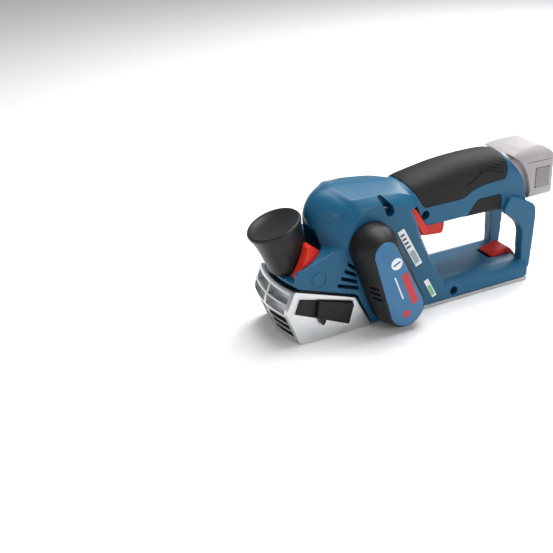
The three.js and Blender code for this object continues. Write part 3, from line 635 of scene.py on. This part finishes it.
def contour_tree():
    """Engraving cutters: a wavy line, repeated by one step, each copy a thin tube."""
    tree = bpy.data.node_groups.new("contours", "GeometryNodeTree")
    sockets = [("Geometry", "Geometry"), ("Count", "Int"), ("Step", "Vector"), ("Radius", "Float"),
               ("Finish", "Material")]
    for name, kind in sockets:
        tree.interface.new_socket(name, in_out="INPUT", socket_type="NodeSocket" + kind)
    tree.interface.new_socket("Geometry", in_out="OUTPUT", socket_type="NodeSocketGeometry")
    given = add_node(tree, "NodeGroupInput").outputs
    line = add_node(tree, "GeometryNodeMeshLine", {"Count": given["Count"], "Offset": given["Step"]})
    path = add_node(tree, "GeometryNodeMeshToCurve", {"Mesh": given["Geometry"]})
    section = add_node(tree, "GeometryNodeCurvePrimitiveCircle", {"Resolution": 8, "Radius": given["Radius"]})
    tube = add_node(tree, "GeometryNodeCurveToMesh", {"Curve": path.outputs[0], "Fill Caps": True,
                                                      "Profile Curve": section.outputs[0]})
    copies = add_node(tree, "GeometryNodeInstanceOnPoints", {"Points": line.outputs[0],
                                                             "Instance": tube.outputs[0]})
    real = add_node(tree, "GeometryNodeRealizeInstances", {"Geometry": copies.outputs[0]})
    done = add_node(tree, "GeometryNodeSetMaterial", {"Geometry": real.outputs[0],
                                                      "Material": given["Finish"]})
    add_node(tree, "NodeGroupOutput", {0: done.outputs[0]})
    return tree


contours = contour_tree()


def contour_lines(side):
    """The engraved lines on one side of the grip, following the handle's swelling."""
    share = np.linspace(0, 1, 30)
    xs = 160 + 37 * share
    zs = 98 + 7.5 * np.sin(share * math.pi * 0.8) - 1.2 * np.sin(share * 9)
    rise = np.clip((zs - 102.5) / 15, 0, 1)
    ys = side * (21.75 * np.sqrt(1 - rise ** 2) - 0.1)
    places = np.stack([xs, ys, zs], 1) * MM + (STATION_ZERO, 0, 0)
    mesh = bpy.data.meshes.new("contour")
    mesh.from_pydata(places.tolist(), [(i, i + 1) for i in range(len(xs) - 1)], [])
    lines = bpy.data.objects.new("contour", mesh)
    bpy.context.scene.collection.objects.link(lines)
    set_inputs(lines, contours, Count=4, Step=Vector((1.4, -side * 0.9, 2.3)) * MM, Radius=0.6 * MM,
               Finish=soft_rubber)
    return apply_all(lines)


for part, region, nodes in (("grip", grip_region, "grip_"), ("insert", insert_region, "rear_insert_")):
    whole = combine("INTERSECT", handle(part, -0.25), region(0))
    combine("DIFFERENCE", whole, handle("inner", GRIP_THICK))
    melt(whole, 0.5, 3)
    if part == "grip":
        combine("DIFFERENCE", whole, contour_lines(-1), contour_lines(1))
    for side, name in ((-1, "left"), (1, "right")):
        half = box("half", (90, 240), sorted((side * PARTING / 2, side * 60)), (40, 140))
        rubber = combine("INTERSECT", copy_of(whole, f"rubber_{part}_{name}"), half)
        fit(rubber, soft_rubber, "housing", "grip_rubber", nodes + name)
    bpy.data.objects.remove(whole)

# ---- front shoe ----
# A pressure casting in aluminium with a bowed lattice nose, shot-blasted, its faces left bright.
# It rises and falls with the depth knob, and carries a plastic block in its side window.


def bare_metal(name, dark, bright, smooth, rough, detail, *grain):
    """A bare metal whose colour and gloss follow one pattern, its grain in millimetres along X, Y, Z."""
    material, tree, shader = new_material(name)
    place = add_node(tree, "ShaderNodeTexCoord").outputs["Object"]
    drawn = add_node(tree, "ShaderNodeMapping", {"Vector": place, "Scale": [1 / (size * MM) for size in grain]})
    pattern = add_node(tree, "ShaderNodeTexNoise", {"Vector": drawn.outputs[0], "Scale": 1.0,
                                                    "Detail": detail}).outputs[0]
    tint = add_node(tree, "ShaderNodeMix", {0: pattern, 6: linear(dark), 7: linear(bright)}, data_type="RGBA")
    gloss = add_node(tree, "ShaderNodeMapRange", {0: pattern, 3: smooth, 4: rough})
    tree.links.new(tint.outputs[2], shader.inputs["Base Color"])
    tree.links.new(gloss.outputs[0], shader.inputs["Roughness"])
    shader.inputs["Metallic"].default_value = 1.0
    return material, tree, shader, pattern


# Blasted aluminium: pale and soft in its gloss, with clouds from the casting about 14 mm across.
cast_aluminium, tree, shader = bare_metal("cast_aluminium", "#c4c6c8", "#dcdddd", 0.24, 0.42, 4.0,
                                          14, 14, 14)[:3]
place = add_node(tree, "ShaderNodeTexCoord").outputs["Object"]
# Blasted grit is about 0.2 mm: drawn at 0.7 mm so that it shows.
grit = add_node(tree, "ShaderNodeTexNoise", {"Vector": place, "Scale": 1 / (0.7 * MM), "Detail": 3.0})
skin = add_node(tree, "ShaderNodeBump", {"Height": grit.outputs[0], "Distance": 0.02 * MM, "Strength": 0.3})
tree.links.new(skin.outputs[0], shader.inputs["Normal"])

# Black glass-filled nylon: satin, with the mould's spark-eroded grain.
black_nylon = moulded("black_nylon", "#171718", "#121213", 0.46, 0.8, 0.04)

shoe = bowed_prism("shoe_casting", soft([
    (2.5, 0, 0.5), (65, 0, 0.5), (51, shoe_top(51), 1), (-2, shoe_top(-2), 1.4), (-10, 30, 4),
    (0, 2.5, 1.5)]), SOLE_HALF)
inside = bowed_prism("inside", soft([
    (4, 5, 1), (60, 5, 1), (47.5, 30, 3), (47.5, 60, 1), (1, 60, 1), (1, 46, 2), (-6.5, 30, 4)]), 27.5)
scoop_wall = bowed_prism("scoop_wall", soft([(-8.5, 27, 1), (4, 27, 1), (6.5, 45, 1), (-2, 45, 1)], 2), 27.6)
boss = combine("INTERSECT", rod("boss", KNOB_SEAT, 6.2, -60, -16.5, KNOB_AXIS),
               box("boss_limit", (0, 60), (-20, 20), (2, 60)))
combine("DIFFERENCE", shoe, inside)
combine("UNION", shoe, scoop_wall, boss)
cuts = [
    rod("spindle_bore", KNOB_SEAT, 4.35, -42, 10, KNOB_AXIS),
    prism("side_window", soft([(1.4, 40.6, 1), (-3.4, 28.6, 1), (43.6, 7.6, 1), (49, 26.5, 1)]), -40, -26),
    prism("sole_groove", [(-3, -0.1), (3, -0.1), (0, 2.6)], -20, 80, along="x"),
]
LOWER_SLOTS = [(6.5, 11.6), (13, 18.1), (19.5, 25.2)]
UPPER_WINDOWS = [(28.4, 35.6), (37.0, 44.0)]
for side in (-1, 1):
    for low, high in LOWER_SLOTS:
        section = soft([(side * 1.3, low, 0.8), (side * 27, low, 0.8), (side * 27, high, 0.8),
                        (side * 1.3, high, 0.8)], 3)
        cuts.append(prism("slot", section, -22, 4.2, along="x"))
    for low, high in UPPER_WINDOWS:
        middle = (low + high) / 2
        nose_x = -10 + (middle - 30) * 0.46
        trough = []
        for y in np.linspace(side * 1.2, side * 27.2, 14):
            ring = [(nose_x + 7.5 * math.cos(t), y, middle + (high - low) / 2 * math.sin(t))
                    for t in np.linspace(0, 2 * math.pi, 28, endpoint=False)]
            trough.append(bow_forward(np.array(ring)))
        cuts.append(loft("trough", trough))
combine("DIFFERENCE", shoe, *cuts)
ease(shoe, 0.35, 2, 40)
fit(shoe, cast_aluminium, "shoe", "cast_aluminium", "front_shoe", crease=30)

window_floor = prism("window_floor", [(2, 39.8), (-2.2, 28.9), (43.2, 8.4), (48.2, 26.5)], -30.6, -28)
window_block = ease(prism("window_block", soft([(17, 34.9, 1), (14.5, 21.5, 1), (43.2, 8.4, 1),
                                                (48.2, 25.6, 1)], 3), -34, -28), 0.6, 3)
window_tab = ease(prism("window_tab", soft([(17, 21, 0.5), (22, 21, 0.5), (22.8, 17.2, 0.8), (20.6, 13.6, 1),
                                            (18.8, 14.4, 1), (17, 20, 0.5)], 3), -34, -31.3), 0.3)
inset = prism("inset", soft([(19.5, 32, 1), (17.5, 22, 1), (41.6, 11, 1), (45.6, 24.3, 1)], 3), -35, -33.6)
block = combine("UNION", window_block, window_floor, window_tab)
combine("DIFFERENCE", block, inset)
block.name = "shoe_window_block"
fit(block, black_nylon, "shoe", "black_plastic", "shoe_block")


def guard_band(name, front, rear, below, above, half):
    """A band across the tool that follows the shoe's sloping upper edge."""
    return prism(name, [(front, shoe_top(front) - below), (rear, shoe_top(rear) - below),
                        (rear, shoe_top(rear) + above), (front, shoe_top(front) + above)], -half, half)


guard = combine("DIFFERENCE", guard_band("dust_guard", 5.3, 42, 4, 2.2, 26.8),
                guard_band("guard_inside", 6.5, 40.4, 9, 9, 25.2))
fit(ease(guard, 0.25), black_nylon, "housing", "black_plastic", "shoe_guard")

# ---- rear sole ----
# An extruded aluminium plate, milled flat below, bowed at its tail and slotted for the park rest.
# Four countersunk screws hold it to the lower bar.

# Milling lines run along the tool, about 0.5 mm apart.
milled_aluminium, tree, shader, lines = bare_metal("milled_aluminium", "#a5a8ab", "#c3c5c7", 0.28, 0.44, 2.0,
                                                   1000 / 30, 0.5, 1000 / 30)
skin = add_node(tree, "ShaderNodeBump", {"Height": lines, "Distance": 0.015 * MM, "Strength": 0.4})
tree.links.new(skin.outputs[0], shader.inputs["Normal"])

tail = [(223 + 7 * (1 - (y / SOLE_HALF) ** 2), y) for y in np.linspace(-SOLE_HALF, SOLE_HALF, 21)]
sole = prism("sole_plate", [(97, -SOLE_HALF)] + tail + [(97, SOLE_HALF)], 0, 3, along="z")
sink = turned("sink", [(0, -0.1), (4.0, -0.1), (1.9, 2.6), (1.9, 4), (0, 4)], FIRST_SOLE_SCREW, (0, 0, 1), 32)
combine("DIFFERENCE", sole, box("rest_slot", (198, 240), (-9.4, 9.4), (-1, 5)),
        at_sole_screws(sink, milled_aluminium))
fit(ease(sole, 0.3, 2), milled_aluminium, "housing", "sole_aluminium", "rear_sole", crease=30)

# ---- depth knob, lock lever ----
# The knob is one satin black moulding on the steel spindle, with a dished top and a soft rim. The
# red lever under it swings round the same axis and locks the depth.

# Nylon from a smoother mould: the knob's highlight is wider and clearer.
knob_nylon = moulded("knob_nylon", "#242425", "#1c1c1d", 0.34, 1.1, 0.015)
# Nylon coloured red right through, satin.
red_nylon = moulded("red_nylon", "#d8301f", "#cb2a1b", 0.42, 0.9, 0.03)

knob = turned("knob", [
    (0, 14.5), (4.3, 14.5), (4.3, 0.3), (15.9, 0), (16.7, 0.4), (17.1, 1.2), (17.6, 7), (18, 13), (18.6, 20),
    (19.4, 26), (20.5, 31), (21.5, 34), (22.1, 35.8), (22.25, 36.7), (22.0, 37.5), (21.5, 38.2),
    (20.8, 38.5), (19.8, 38.3), (17.5, 37.3), (14, 36.2), (10, 35.4), (5, 34.9), (0, 34.8)],
    KNOB_SEAT, KNOB_AXIS, 128)
fit(knob, knob_nylon, "knob", "knob_black", "depth_knob", crease=50)


def on_knob_axis(target):
    """Puts a piece drawn about the world's Z onto the knob's tilted axis."""
    target.data.transform(Matrix.Translation((-STATION_ZERO, 0, 0)))
    turn = Matrix.Rotation(-KNOB_TILT, 4, "Y")
    seat = Vector(KNOB_SEAT) * MM + Vector((STATION_ZERO, 0, 0))
    target.data.transform(Matrix.Translation(seat) @ turn)
    return target


blank = prism("lock_lever", soft([(-8, 0, 1), (24, 0, 1), (23.5, 2.5, 1), (13.8, 18.5, 1.5),
                                  (10.5, 18.5, 1)], 4), -27, -9)
combine("INTERSECT", blank, rod("reach", (0, 0, 0), 27.4, -1, 25, (0, 0, 1), 96))
combine("DIFFERENCE", blank, turned("knob_room", [(0, -1), (18.4, -1), (19.6, 22), (0, 22)], (0, 0, 0),
                                    (0, 0, 1), 96))
fit(on_knob_axis(ease(blank, 0.5, 3, 30)), red_nylon, "lever", "red_plastic", "lock_lever")

# ---- belt cover and its plate ----
# A deep black moulding over the belt, its face bevelled all round, with cooling louvres cut in the
# front flank. A blue plate with printed marks is snapped into the face.


def pulley_outline(drum_radius, motor_radius, steps=40):
    """The outline round two circles, one about the drum's axis and one about the motor's."""
    dx, dz = MOTOR[0] - DRUM[0], MOTOR[2] - DRUM[2]
    heading = math.atan2(dz, dx)
    swing = math.acos((drum_radius - motor_radius) / math.hypot(dx, dz))
    outline = []
    for centre, radius, start, end in (
            (DRUM, drum_radius, heading + swing, heading - swing + 2 * math.pi),
            (MOTOR, motor_radius, heading - swing, heading + swing)):
        for angle in np.linspace(start, end, steps):
            outline.append((centre[0] + radius * math.cos(angle), centre[2] + radius * math.sin(angle)))
    return outline


def pulley_loft(name, layers):
    """A skin through outlines round both pulleys: y, radius at the drum and radius at the motor."""
    return loft(name, [[(x, y, z) for x, z in pulley_outline(a, b)] for y, a, b in layers])


COVER_LAYERS = [(-54.2, 15.9, 10.8), (-54.05, 16.3, 11.3), (-52.0, 17.7, 13.1), (-47.5, 19.1, 15.8),
                (-42.6, 20.0, 18.0), (-41.4, 20.15, 18.3), (-31.3, 20.5, 19.0)]
cover = pulley_loft("belt_cover_shell", COVER_LAYERS)
slit = soft([(48.5, 41.5, 0.6), (64.5, 41.5, 0.6), (64.5, 43.6, 0.6), (48.5, 43.6, 0.6)], 3)
louvre = in_row(prism("louvre", slit, -52.3, -42.8), 3, (1.9, 0, -5.2), black_nylon)
core = pulley_loft("core", [(y * 1.02 + 1, a - 1.5, b - 1.5) for y, a, b in COVER_LAYERS])
combine("DIFFERENCE", louvre, core)
combine("DIFFERENCE", cover,
        pulley_loft("room", [(-51, 15, 10.8), (-48, 17, 13.6), (-42, 17.5, 15.6), (-31, 18, 16.6)]),
        rod("cover_screw_way", (75, 0, 45), 1.9, -60, -40),
        rod("cover_screw_seat", (75, 0, 45), 3.6, -60, -52.8))
combine("DIFFERENCE", cover, louvre)
fit(cover, black_nylon, "housing", "black_plastic", "belt_cover", crease=28)

# Printed polycarbonate sheet: lighter and glossier than the shell round it.
inlay_blue, tree, shader = new_material("inlay_blue")
place = add_node(tree, "ShaderNodeTexCoord").outputs["Object"]
cloud = add_node(tree, "ShaderNodeTexNoise", {"Vector": place, "Scale": 1 / (12 * MM), "Detail": 2.0})
tint = add_node(tree, "ShaderNodeMix", {0: cloud.outputs[0], 6: linear("#22618c"), 7: linear("#2a6f9c")},
                data_type="RGBA")
tree.links.new(tint.outputs[2], shader.inputs["Base Color"])
shader.inputs["Roughness"].default_value = 0.3
inlay = ease(pulley_loft("cover_plate", [(-55.1, 15.0, 9.9), (-54.5, 15.3, 10.2)]), 0.2)
fit(inlay, inlay_blue, "housing", "inlay_blue", "cover_inlay")

# Label film and printing inks: nearly smooth, their colours barely clouded.
label_paper = moulded("label_paper", "#eceef0", "#e2e5e8", 0.38, 0.8, 0.004)
print_red = moulded("print_red", "#c23a45", "#b83440", 0.40, 0.8, 0.004)
print_dark = moulded("print_dark", "#3c4a56", "#34414c", 0.40, 0.8, 0.004)
print_grey = moulded("print_grey", "#a9b0b6", "#9fa6ac", 0.40, 0.8, 0.004)
label_green = moulded("label_green", "#7fbf8a", "#74b57f", 0.40, 0.8, 0.004)


def mark(name, centre, along, length, width, low, high, round_ends=0.4):
    """A thin printed mark: a bar by its middle, direction, length and width, between two depths."""
    run = np.array(along, float) / np.hypot(*along)
    side = np.array((-run[1], run[0]))
    corners = []
    for a, b in ((-1, -1), (1, -1), (1, 1), (-1, 1)):
        corners.append((*(np.array(centre) + a * run * length / 2 + b * side * width / 2), round_ends))
    return prism(name, soft(corners, 4), low, high)


DOWN = (DRUM[0] - MOTOR[0], DRUM[2] - MOTOR[2])
PRINT = (-55.18, -54.9)
emblem = rod("cover_emblem", (73.6, 0, 62.5), 5.0, *PRINT, segments=64)
fit(emblem, label_paper, "housing", "label_white")
slash = mark("cover_emblem_bar", (73.6, 62.5), (1, 0.5), 7.0, 1.6, -55.2, -54.95)
fit(slash, inlay_blue, "housing", "inlay_blue")
band = mark("cover_red_band", (86.0, 38.5), DOWN, 30, 6.2, *PRINT, 1.0)
fit(band, print_red, "housing", "red_plastic")
fit(mark("cover_pale_line", (75.9, 41), DOWN, 22, 1.1, *PRINT), label_paper, "housing", "label_white")
tag = rod("cover_red_tag", (83.2, 0, 16.5), 3.4, *PRINT, segments=64)
fit(tag, print_red, "housing", "red_plastic")

# ---- side labels ----
# Two printed stickers on the left flank: a white strip with dark and grey marks, and a small one
# with a green field.

STICKER = (-31.65, -31.05)
STICKER_PRINT = (-31.7, -31.3)
strip = prism("side_strip", soft([(89, 75.8, 0.6), (95, 78.2, 0.6), (113, 44.2, 0.6), (107, 41.8, 0.6)], 3),
              *STICKER)
fit(strip, label_paper, "housing", "label_white", "side_label")
dark = mark("side_strip_dark_marks", (93.6, 72.6), (6, 2.4), 3.9, 1.9, *STICKER_PRINT, 0.3)
fit(in_row(dark, 4, (2, 0, -3.8), print_dark), print_dark, "housing", "label_white")
field = mark("side_strip_grey_field", (105.5, 51.2), (9, -17), 13, 4.6, *STICKER_PRINT)
fit(field, print_grey, "housing", "label_white")
sticker = soft([(115, 26.2, 0.6), (119, 27.8, 0.6), (128, 10.8, 0.6), (124, 9.2, 0.6)], 3)
fit(prism("rating_sticker", sticker, *STICKER), label_paper, "housing", "label_white", "rating_label")
field = mark("rating_green_field", (122.3, 16.6), (9, -17), 11, 3.0, *STICKER_PRINT)
fit(field, label_green, "housing", "label_green")

# ---- trigger, lock-off lever, park rest ----
# Red mouldings: the trigger paddle under the handle, the lock-off strip at its left and the park
# rest in the tail, which keeps the cutter off the bench.

paddle = prism("trigger_paddle", soft([
    (123, 64.5, 1), (125, 55.5, 2.5), (132, 54, 3), (149.8, 52.2, 3), (151.6, 61.5, 2), (148.6, 67.2, 1),
    (128, 70.5, 1), (124, 69.5, 1)], 6), -7.3, 7.3)
fit(ease(paddle, 1.4, 4, 40), red_nylon, "trigger", "red_plastic", "trigger", crease=45)
strip = prism("lock_off_strip", soft([
    (105.4, 87, 1.5), (107.4, 89.6, 2.5), (111.2, 88.4, 2.5), (124.0, 67.4, 1.5), (119.6, 62.8, 2)], 6),
    -23.4, -17)
fit(ease(strip, 0.8, 3, 40), red_nylon, "lock_off", "red_plastic", "lock_off_lever", crease=45)
rest = prism("park_rest_lever", soft([
    (200.5, 18.7, 0.8), (208.5, 16.5, 1), (208.5, 8, 2), (214, 7.2, 2), (224, 7.5, 2), (227.4, 4.2, 1),
    (229.3, 5.5, 1), (228.6, 13, 2), (222.5, 20.5, 1), (219, 23.6, 1), (207, 21.4, 1)], 5), -8.7, 8.7)
combine("DIFFERENCE", rest, rod("pin_way", PARK_PIN, 1.66, -20, 20, segments=32))
fit(ease(rest, 0.5, 3, 30), red_nylon, "park_rest", "red_plastic", "park_rest")

# ---- battery pack ----
# A grey nylon case in two shells, welded round its cells: a rounded stem that slides into the
# handle, and a base with a release button on each side.

# Pale grey nylon for the case and a darker one for the buttons, both with a fine mould grain.
pack_grey = moulded("pack_grey", "#aaa5a8", "#a19c9f", 0.5, 0.9, 0.04)
button_grey = moulded("button_grey", "#8f8a8d", "#858083", 0.45, 0.9, 0.03)
REAR, LOW, HIGH, HALF = 254, 68.6, 117.3, 21.5
pack = prism("battery_case", soft([(200, -HALF, 1), (REAR, -HALF, 8), (REAR, HALF, 8), (200, HALF, 1)], 8),
             60, 120, along="z")
combine("INTERSECT", pack, prism("pack_side", soft([
    (229, LOW, 1), (250, LOW, 4), (REAR, 72, 3), (REAR, 100, 6), (249, 110, 4), (241, 115.5, 4),
    (232, HIGH, 8), (218, 115.2, 6), (208.8, 112.0, 0.8), (215.5, 107.4, 4), (223.2, 95.5, 5),
    (227.6, 80, 5)], 5), -30, 30))
combine("INTERSECT", pack, rounded_bar("pack_section", (199, 256), HALF, LOW, HIGH, 13))
ease(pack, 0.5, 2, 50)
combine("UNION", pack, rounded_bar("pack_stem", (149.9, 234), 17.2, 71, 112, 11.6))
seam = combine("DIFFERENCE", box("seam", (222, 260), (-24, 24), (103.6, 104.3)),
               rounded_bar("seam_core", (200, 253.4), HALF - 0.6, LOW + 0.6, HIGH - 0.6, 12.4))
ribs = in_row(box("rib_gap", (253.2, 256.2), (-11, 11), (78, 79.6)), 4, (0, 0, 4.2), pack_grey)
combine("DIFFERENCE", pack, seam, ribs, box("button_left_way", (232, 247), (-24, -17), (80, 98)),
        box("button_right_way", (232, 247), (17, 24), (80, 98)))
fit(pack, pack_grey, "battery", "battery_grey", "battery_pack", crease=30)
for side, name in ((-1, "left"), (1, "right")):
    button = prism("button_" + name, soft([(232.4, 80.4, 2), (246.6, 80.4, 2), (246.6, 97.6, 2),
                                           (232.4, 97.6, 2)], 5), *sorted((side * 19.3, side * 22.1)))
    fit(ease(button, 0.5, 3, 40), button_grey, "button_" + name, "battery_grey", "battery_button_" + name)

# ---- chip outlet ----
# A short oval tube of black nylon on the right side, for the shavings or a hose adapter.

spout = combine("DIFFERENCE", outlet_oval("outlet_tube", 7.0, 30.9, 42), outlet_oval("outlet_way", 5.2, 30, 43))
fit(ease(spout, 0.3), black_nylon, "housing", "black_plastic", "chip_outlet", crease=30)

# ---- screws ----
# Zinc-plated steel with six-lobed sockets: three pan heads hold the shells together, and four
# countersunk ones hold the sole.

# Zinc plating: grey, passivated in faint clouds about 3 mm across.
zinc_steel = bare_metal("zinc_steel", "#8d9093", "#a9acae", 0.24, 0.4, 4.0, 3, 3, 3)[0]


def lobed_socket(name, centre, axis, radius, low, high):
    """A six-lobed driver socket, as a cutter."""
    axis = Vector(axis)
    across = axis.orthogonal().normalized()
    other = axis.cross(across)
    ring = []
    for t in np.linspace(0, 2 * math.pi, 48, endpoint=False):
        reach = radius * (1 + 0.14 * math.cos(6 * t))
        ring.append(reach * math.cos(t) * across + reach * math.sin(t) * other)
    return loft(name, [[Vector(centre) + spoke + depth * axis for spoke in ring] for depth in (low, high)])


def joined(name, parts):
    """Several closed pieces as one object."""
    shape = bmesh.new()
    for part in parts:
        shape.from_mesh(part.data)
        bpy.data.objects.remove(part)
    mesh = bpy.data.meshes.new(name)
    shape.to_mesh(mesh)
    shape.free()
    made = bpy.data.objects.new(name, mesh)
    bpy.context.scene.collection.objects.link(made)
    return made


screws = []
for x, z, face in SCREW_WELLS:
    profile = [(0, 0), (2.3, 0), (2.85, 0.5), (3, 1.2), (3, 2.4), (1.5, 2.4), (1.5, 14.4), (0, 14.4)]
    head = turned("head", profile, (x, face, z), (0, 1, 0), 40)
    screws.append(combine("DIFFERENCE", head, lobed_socket("socket", (x, face, z), (0, 1, 0), 1.35, -0.5, 1.5)))
fit(joined("shell_screws", screws), zinc_steel, "housing", "steel", *[f"housing_screw_{i}" for i in (1, 2, 3)])
head = turned("sole_screws", [(0, 0.3), (3.6, 0.3), (1.6, 2.3), (1.6, 11), (0, 11)], FIRST_SOLE_SCREW,
              (0, 0, 1), 40)
combine("DIFFERENCE", head, lobed_socket("socket", FIRST_SOLE_SCREW, (0, 0, 1), 1.3, -0.5, 1.3))
fit(at_sole_screws(head, zinc_steel), zinc_steel, "housing", "steel",
    *[f"sole_screw_{i}" for i in (1, 2, 3, 4)])

# ---- what the shells hide ----
# Shafts, bearings, belt, motor, cutter, switch and board keep their plain shapes, in the finish of
# the real thing: ground steel, copper windings, moulded rubber, green circuit board.

# Grinding lines round the shafts, about 0.3 mm apart.
ground_steel = bare_metal("ground_steel", "#8b8f93", "#b1b5b8", 0.18, 0.34, 2.0, 25, 0.3, 25)[0]

# Enamelled wire, 0.6 mm thick, wound along the motor.
copper_winding, tree, shader = new_material("copper_winding")
place = add_node(tree, "ShaderNodeTexCoord").outputs["Object"]
wire = add_node(tree, "ShaderNodeTexWave", {"Vector": place, "Scale": 1 / (0.6 * MM) / 6.28, "Distortion": 1.0},
                bands_direction="DIAGONAL")
tint = add_node(tree, "ShaderNodeMix", {0: wire.outputs[1], 6: linear("#7a3d1c"), 7: linear("#b8662f")},
                data_type="RGBA")
skin = add_node(tree, "ShaderNodeBump", {"Height": wire.outputs[1], "Distance": 0.15 * MM})
tree.links.new(tint.outputs[2], shader.inputs["Base Color"])
tree.links.new(skin.outputs[0], shader.inputs["Normal"])
shader.inputs["Metallic"].default_value = 1.0
shader.inputs["Roughness"].default_value = 0.32

# Belt rubber: black, and duller than the grip's.
belt_rubber = moulded("belt_rubber", "#121213", "#0d0d0e", 0.7, 0.6, 0.05)

# Copper tracks under green lacquer, in cells about 2.5 mm across.
circuit_board, tree, shader = new_material("circuit_board")
place = add_node(tree, "ShaderNodeTexCoord").outputs["Object"]
track = add_node(tree, "ShaderNodeTexVoronoi", {"Vector": place, "Scale": 1 / (2.5 * MM)}, distance="MANHATTAN")
tint = add_node(tree, "ShaderNodeMix", {0: track.outputs[0], 6: linear("#1d4f33"), 7: linear("#2f7a4c")},
                data_type="RGBA")
tree.links.new(tint.outputs[2], shader.inputs["Base Color"])
shader.inputs["Roughness"].default_value = 0.35

FINISHES = {
    ground_steel: ["knob_spindle", "shoe_spring", "trigger_spring", "cover_screw", "motor_pulley", "drum_shaft",
                   "blade_1", "blade_2", "blade_clamp_1", "blade_clamp_2", "clamp_screw_1", "clamp_screw_2",
                   "clamp_screw_3", "clamp_screw_4", "drum_bearing_left", "drum_bearing_right",
                   "motor_bearing_left", "motor_bearing_right", "motor_rotor", "park_rest_pin"],
    milled_aluminium: ["cutter_drum"],
    copper_winding: ["motor_stator"],
    belt_rubber: ["drive_belt"],
    black_nylon: ["drum_pulley", "cooling_fan", "switch_module", "terminal_block"],
    circuit_board: ["electronics_board"],
}
for finish, names in FINISHES.items():
    for name in names:
        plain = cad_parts[name]
        plain.data.materials.clear()
        plain.data.materials.append(finish)
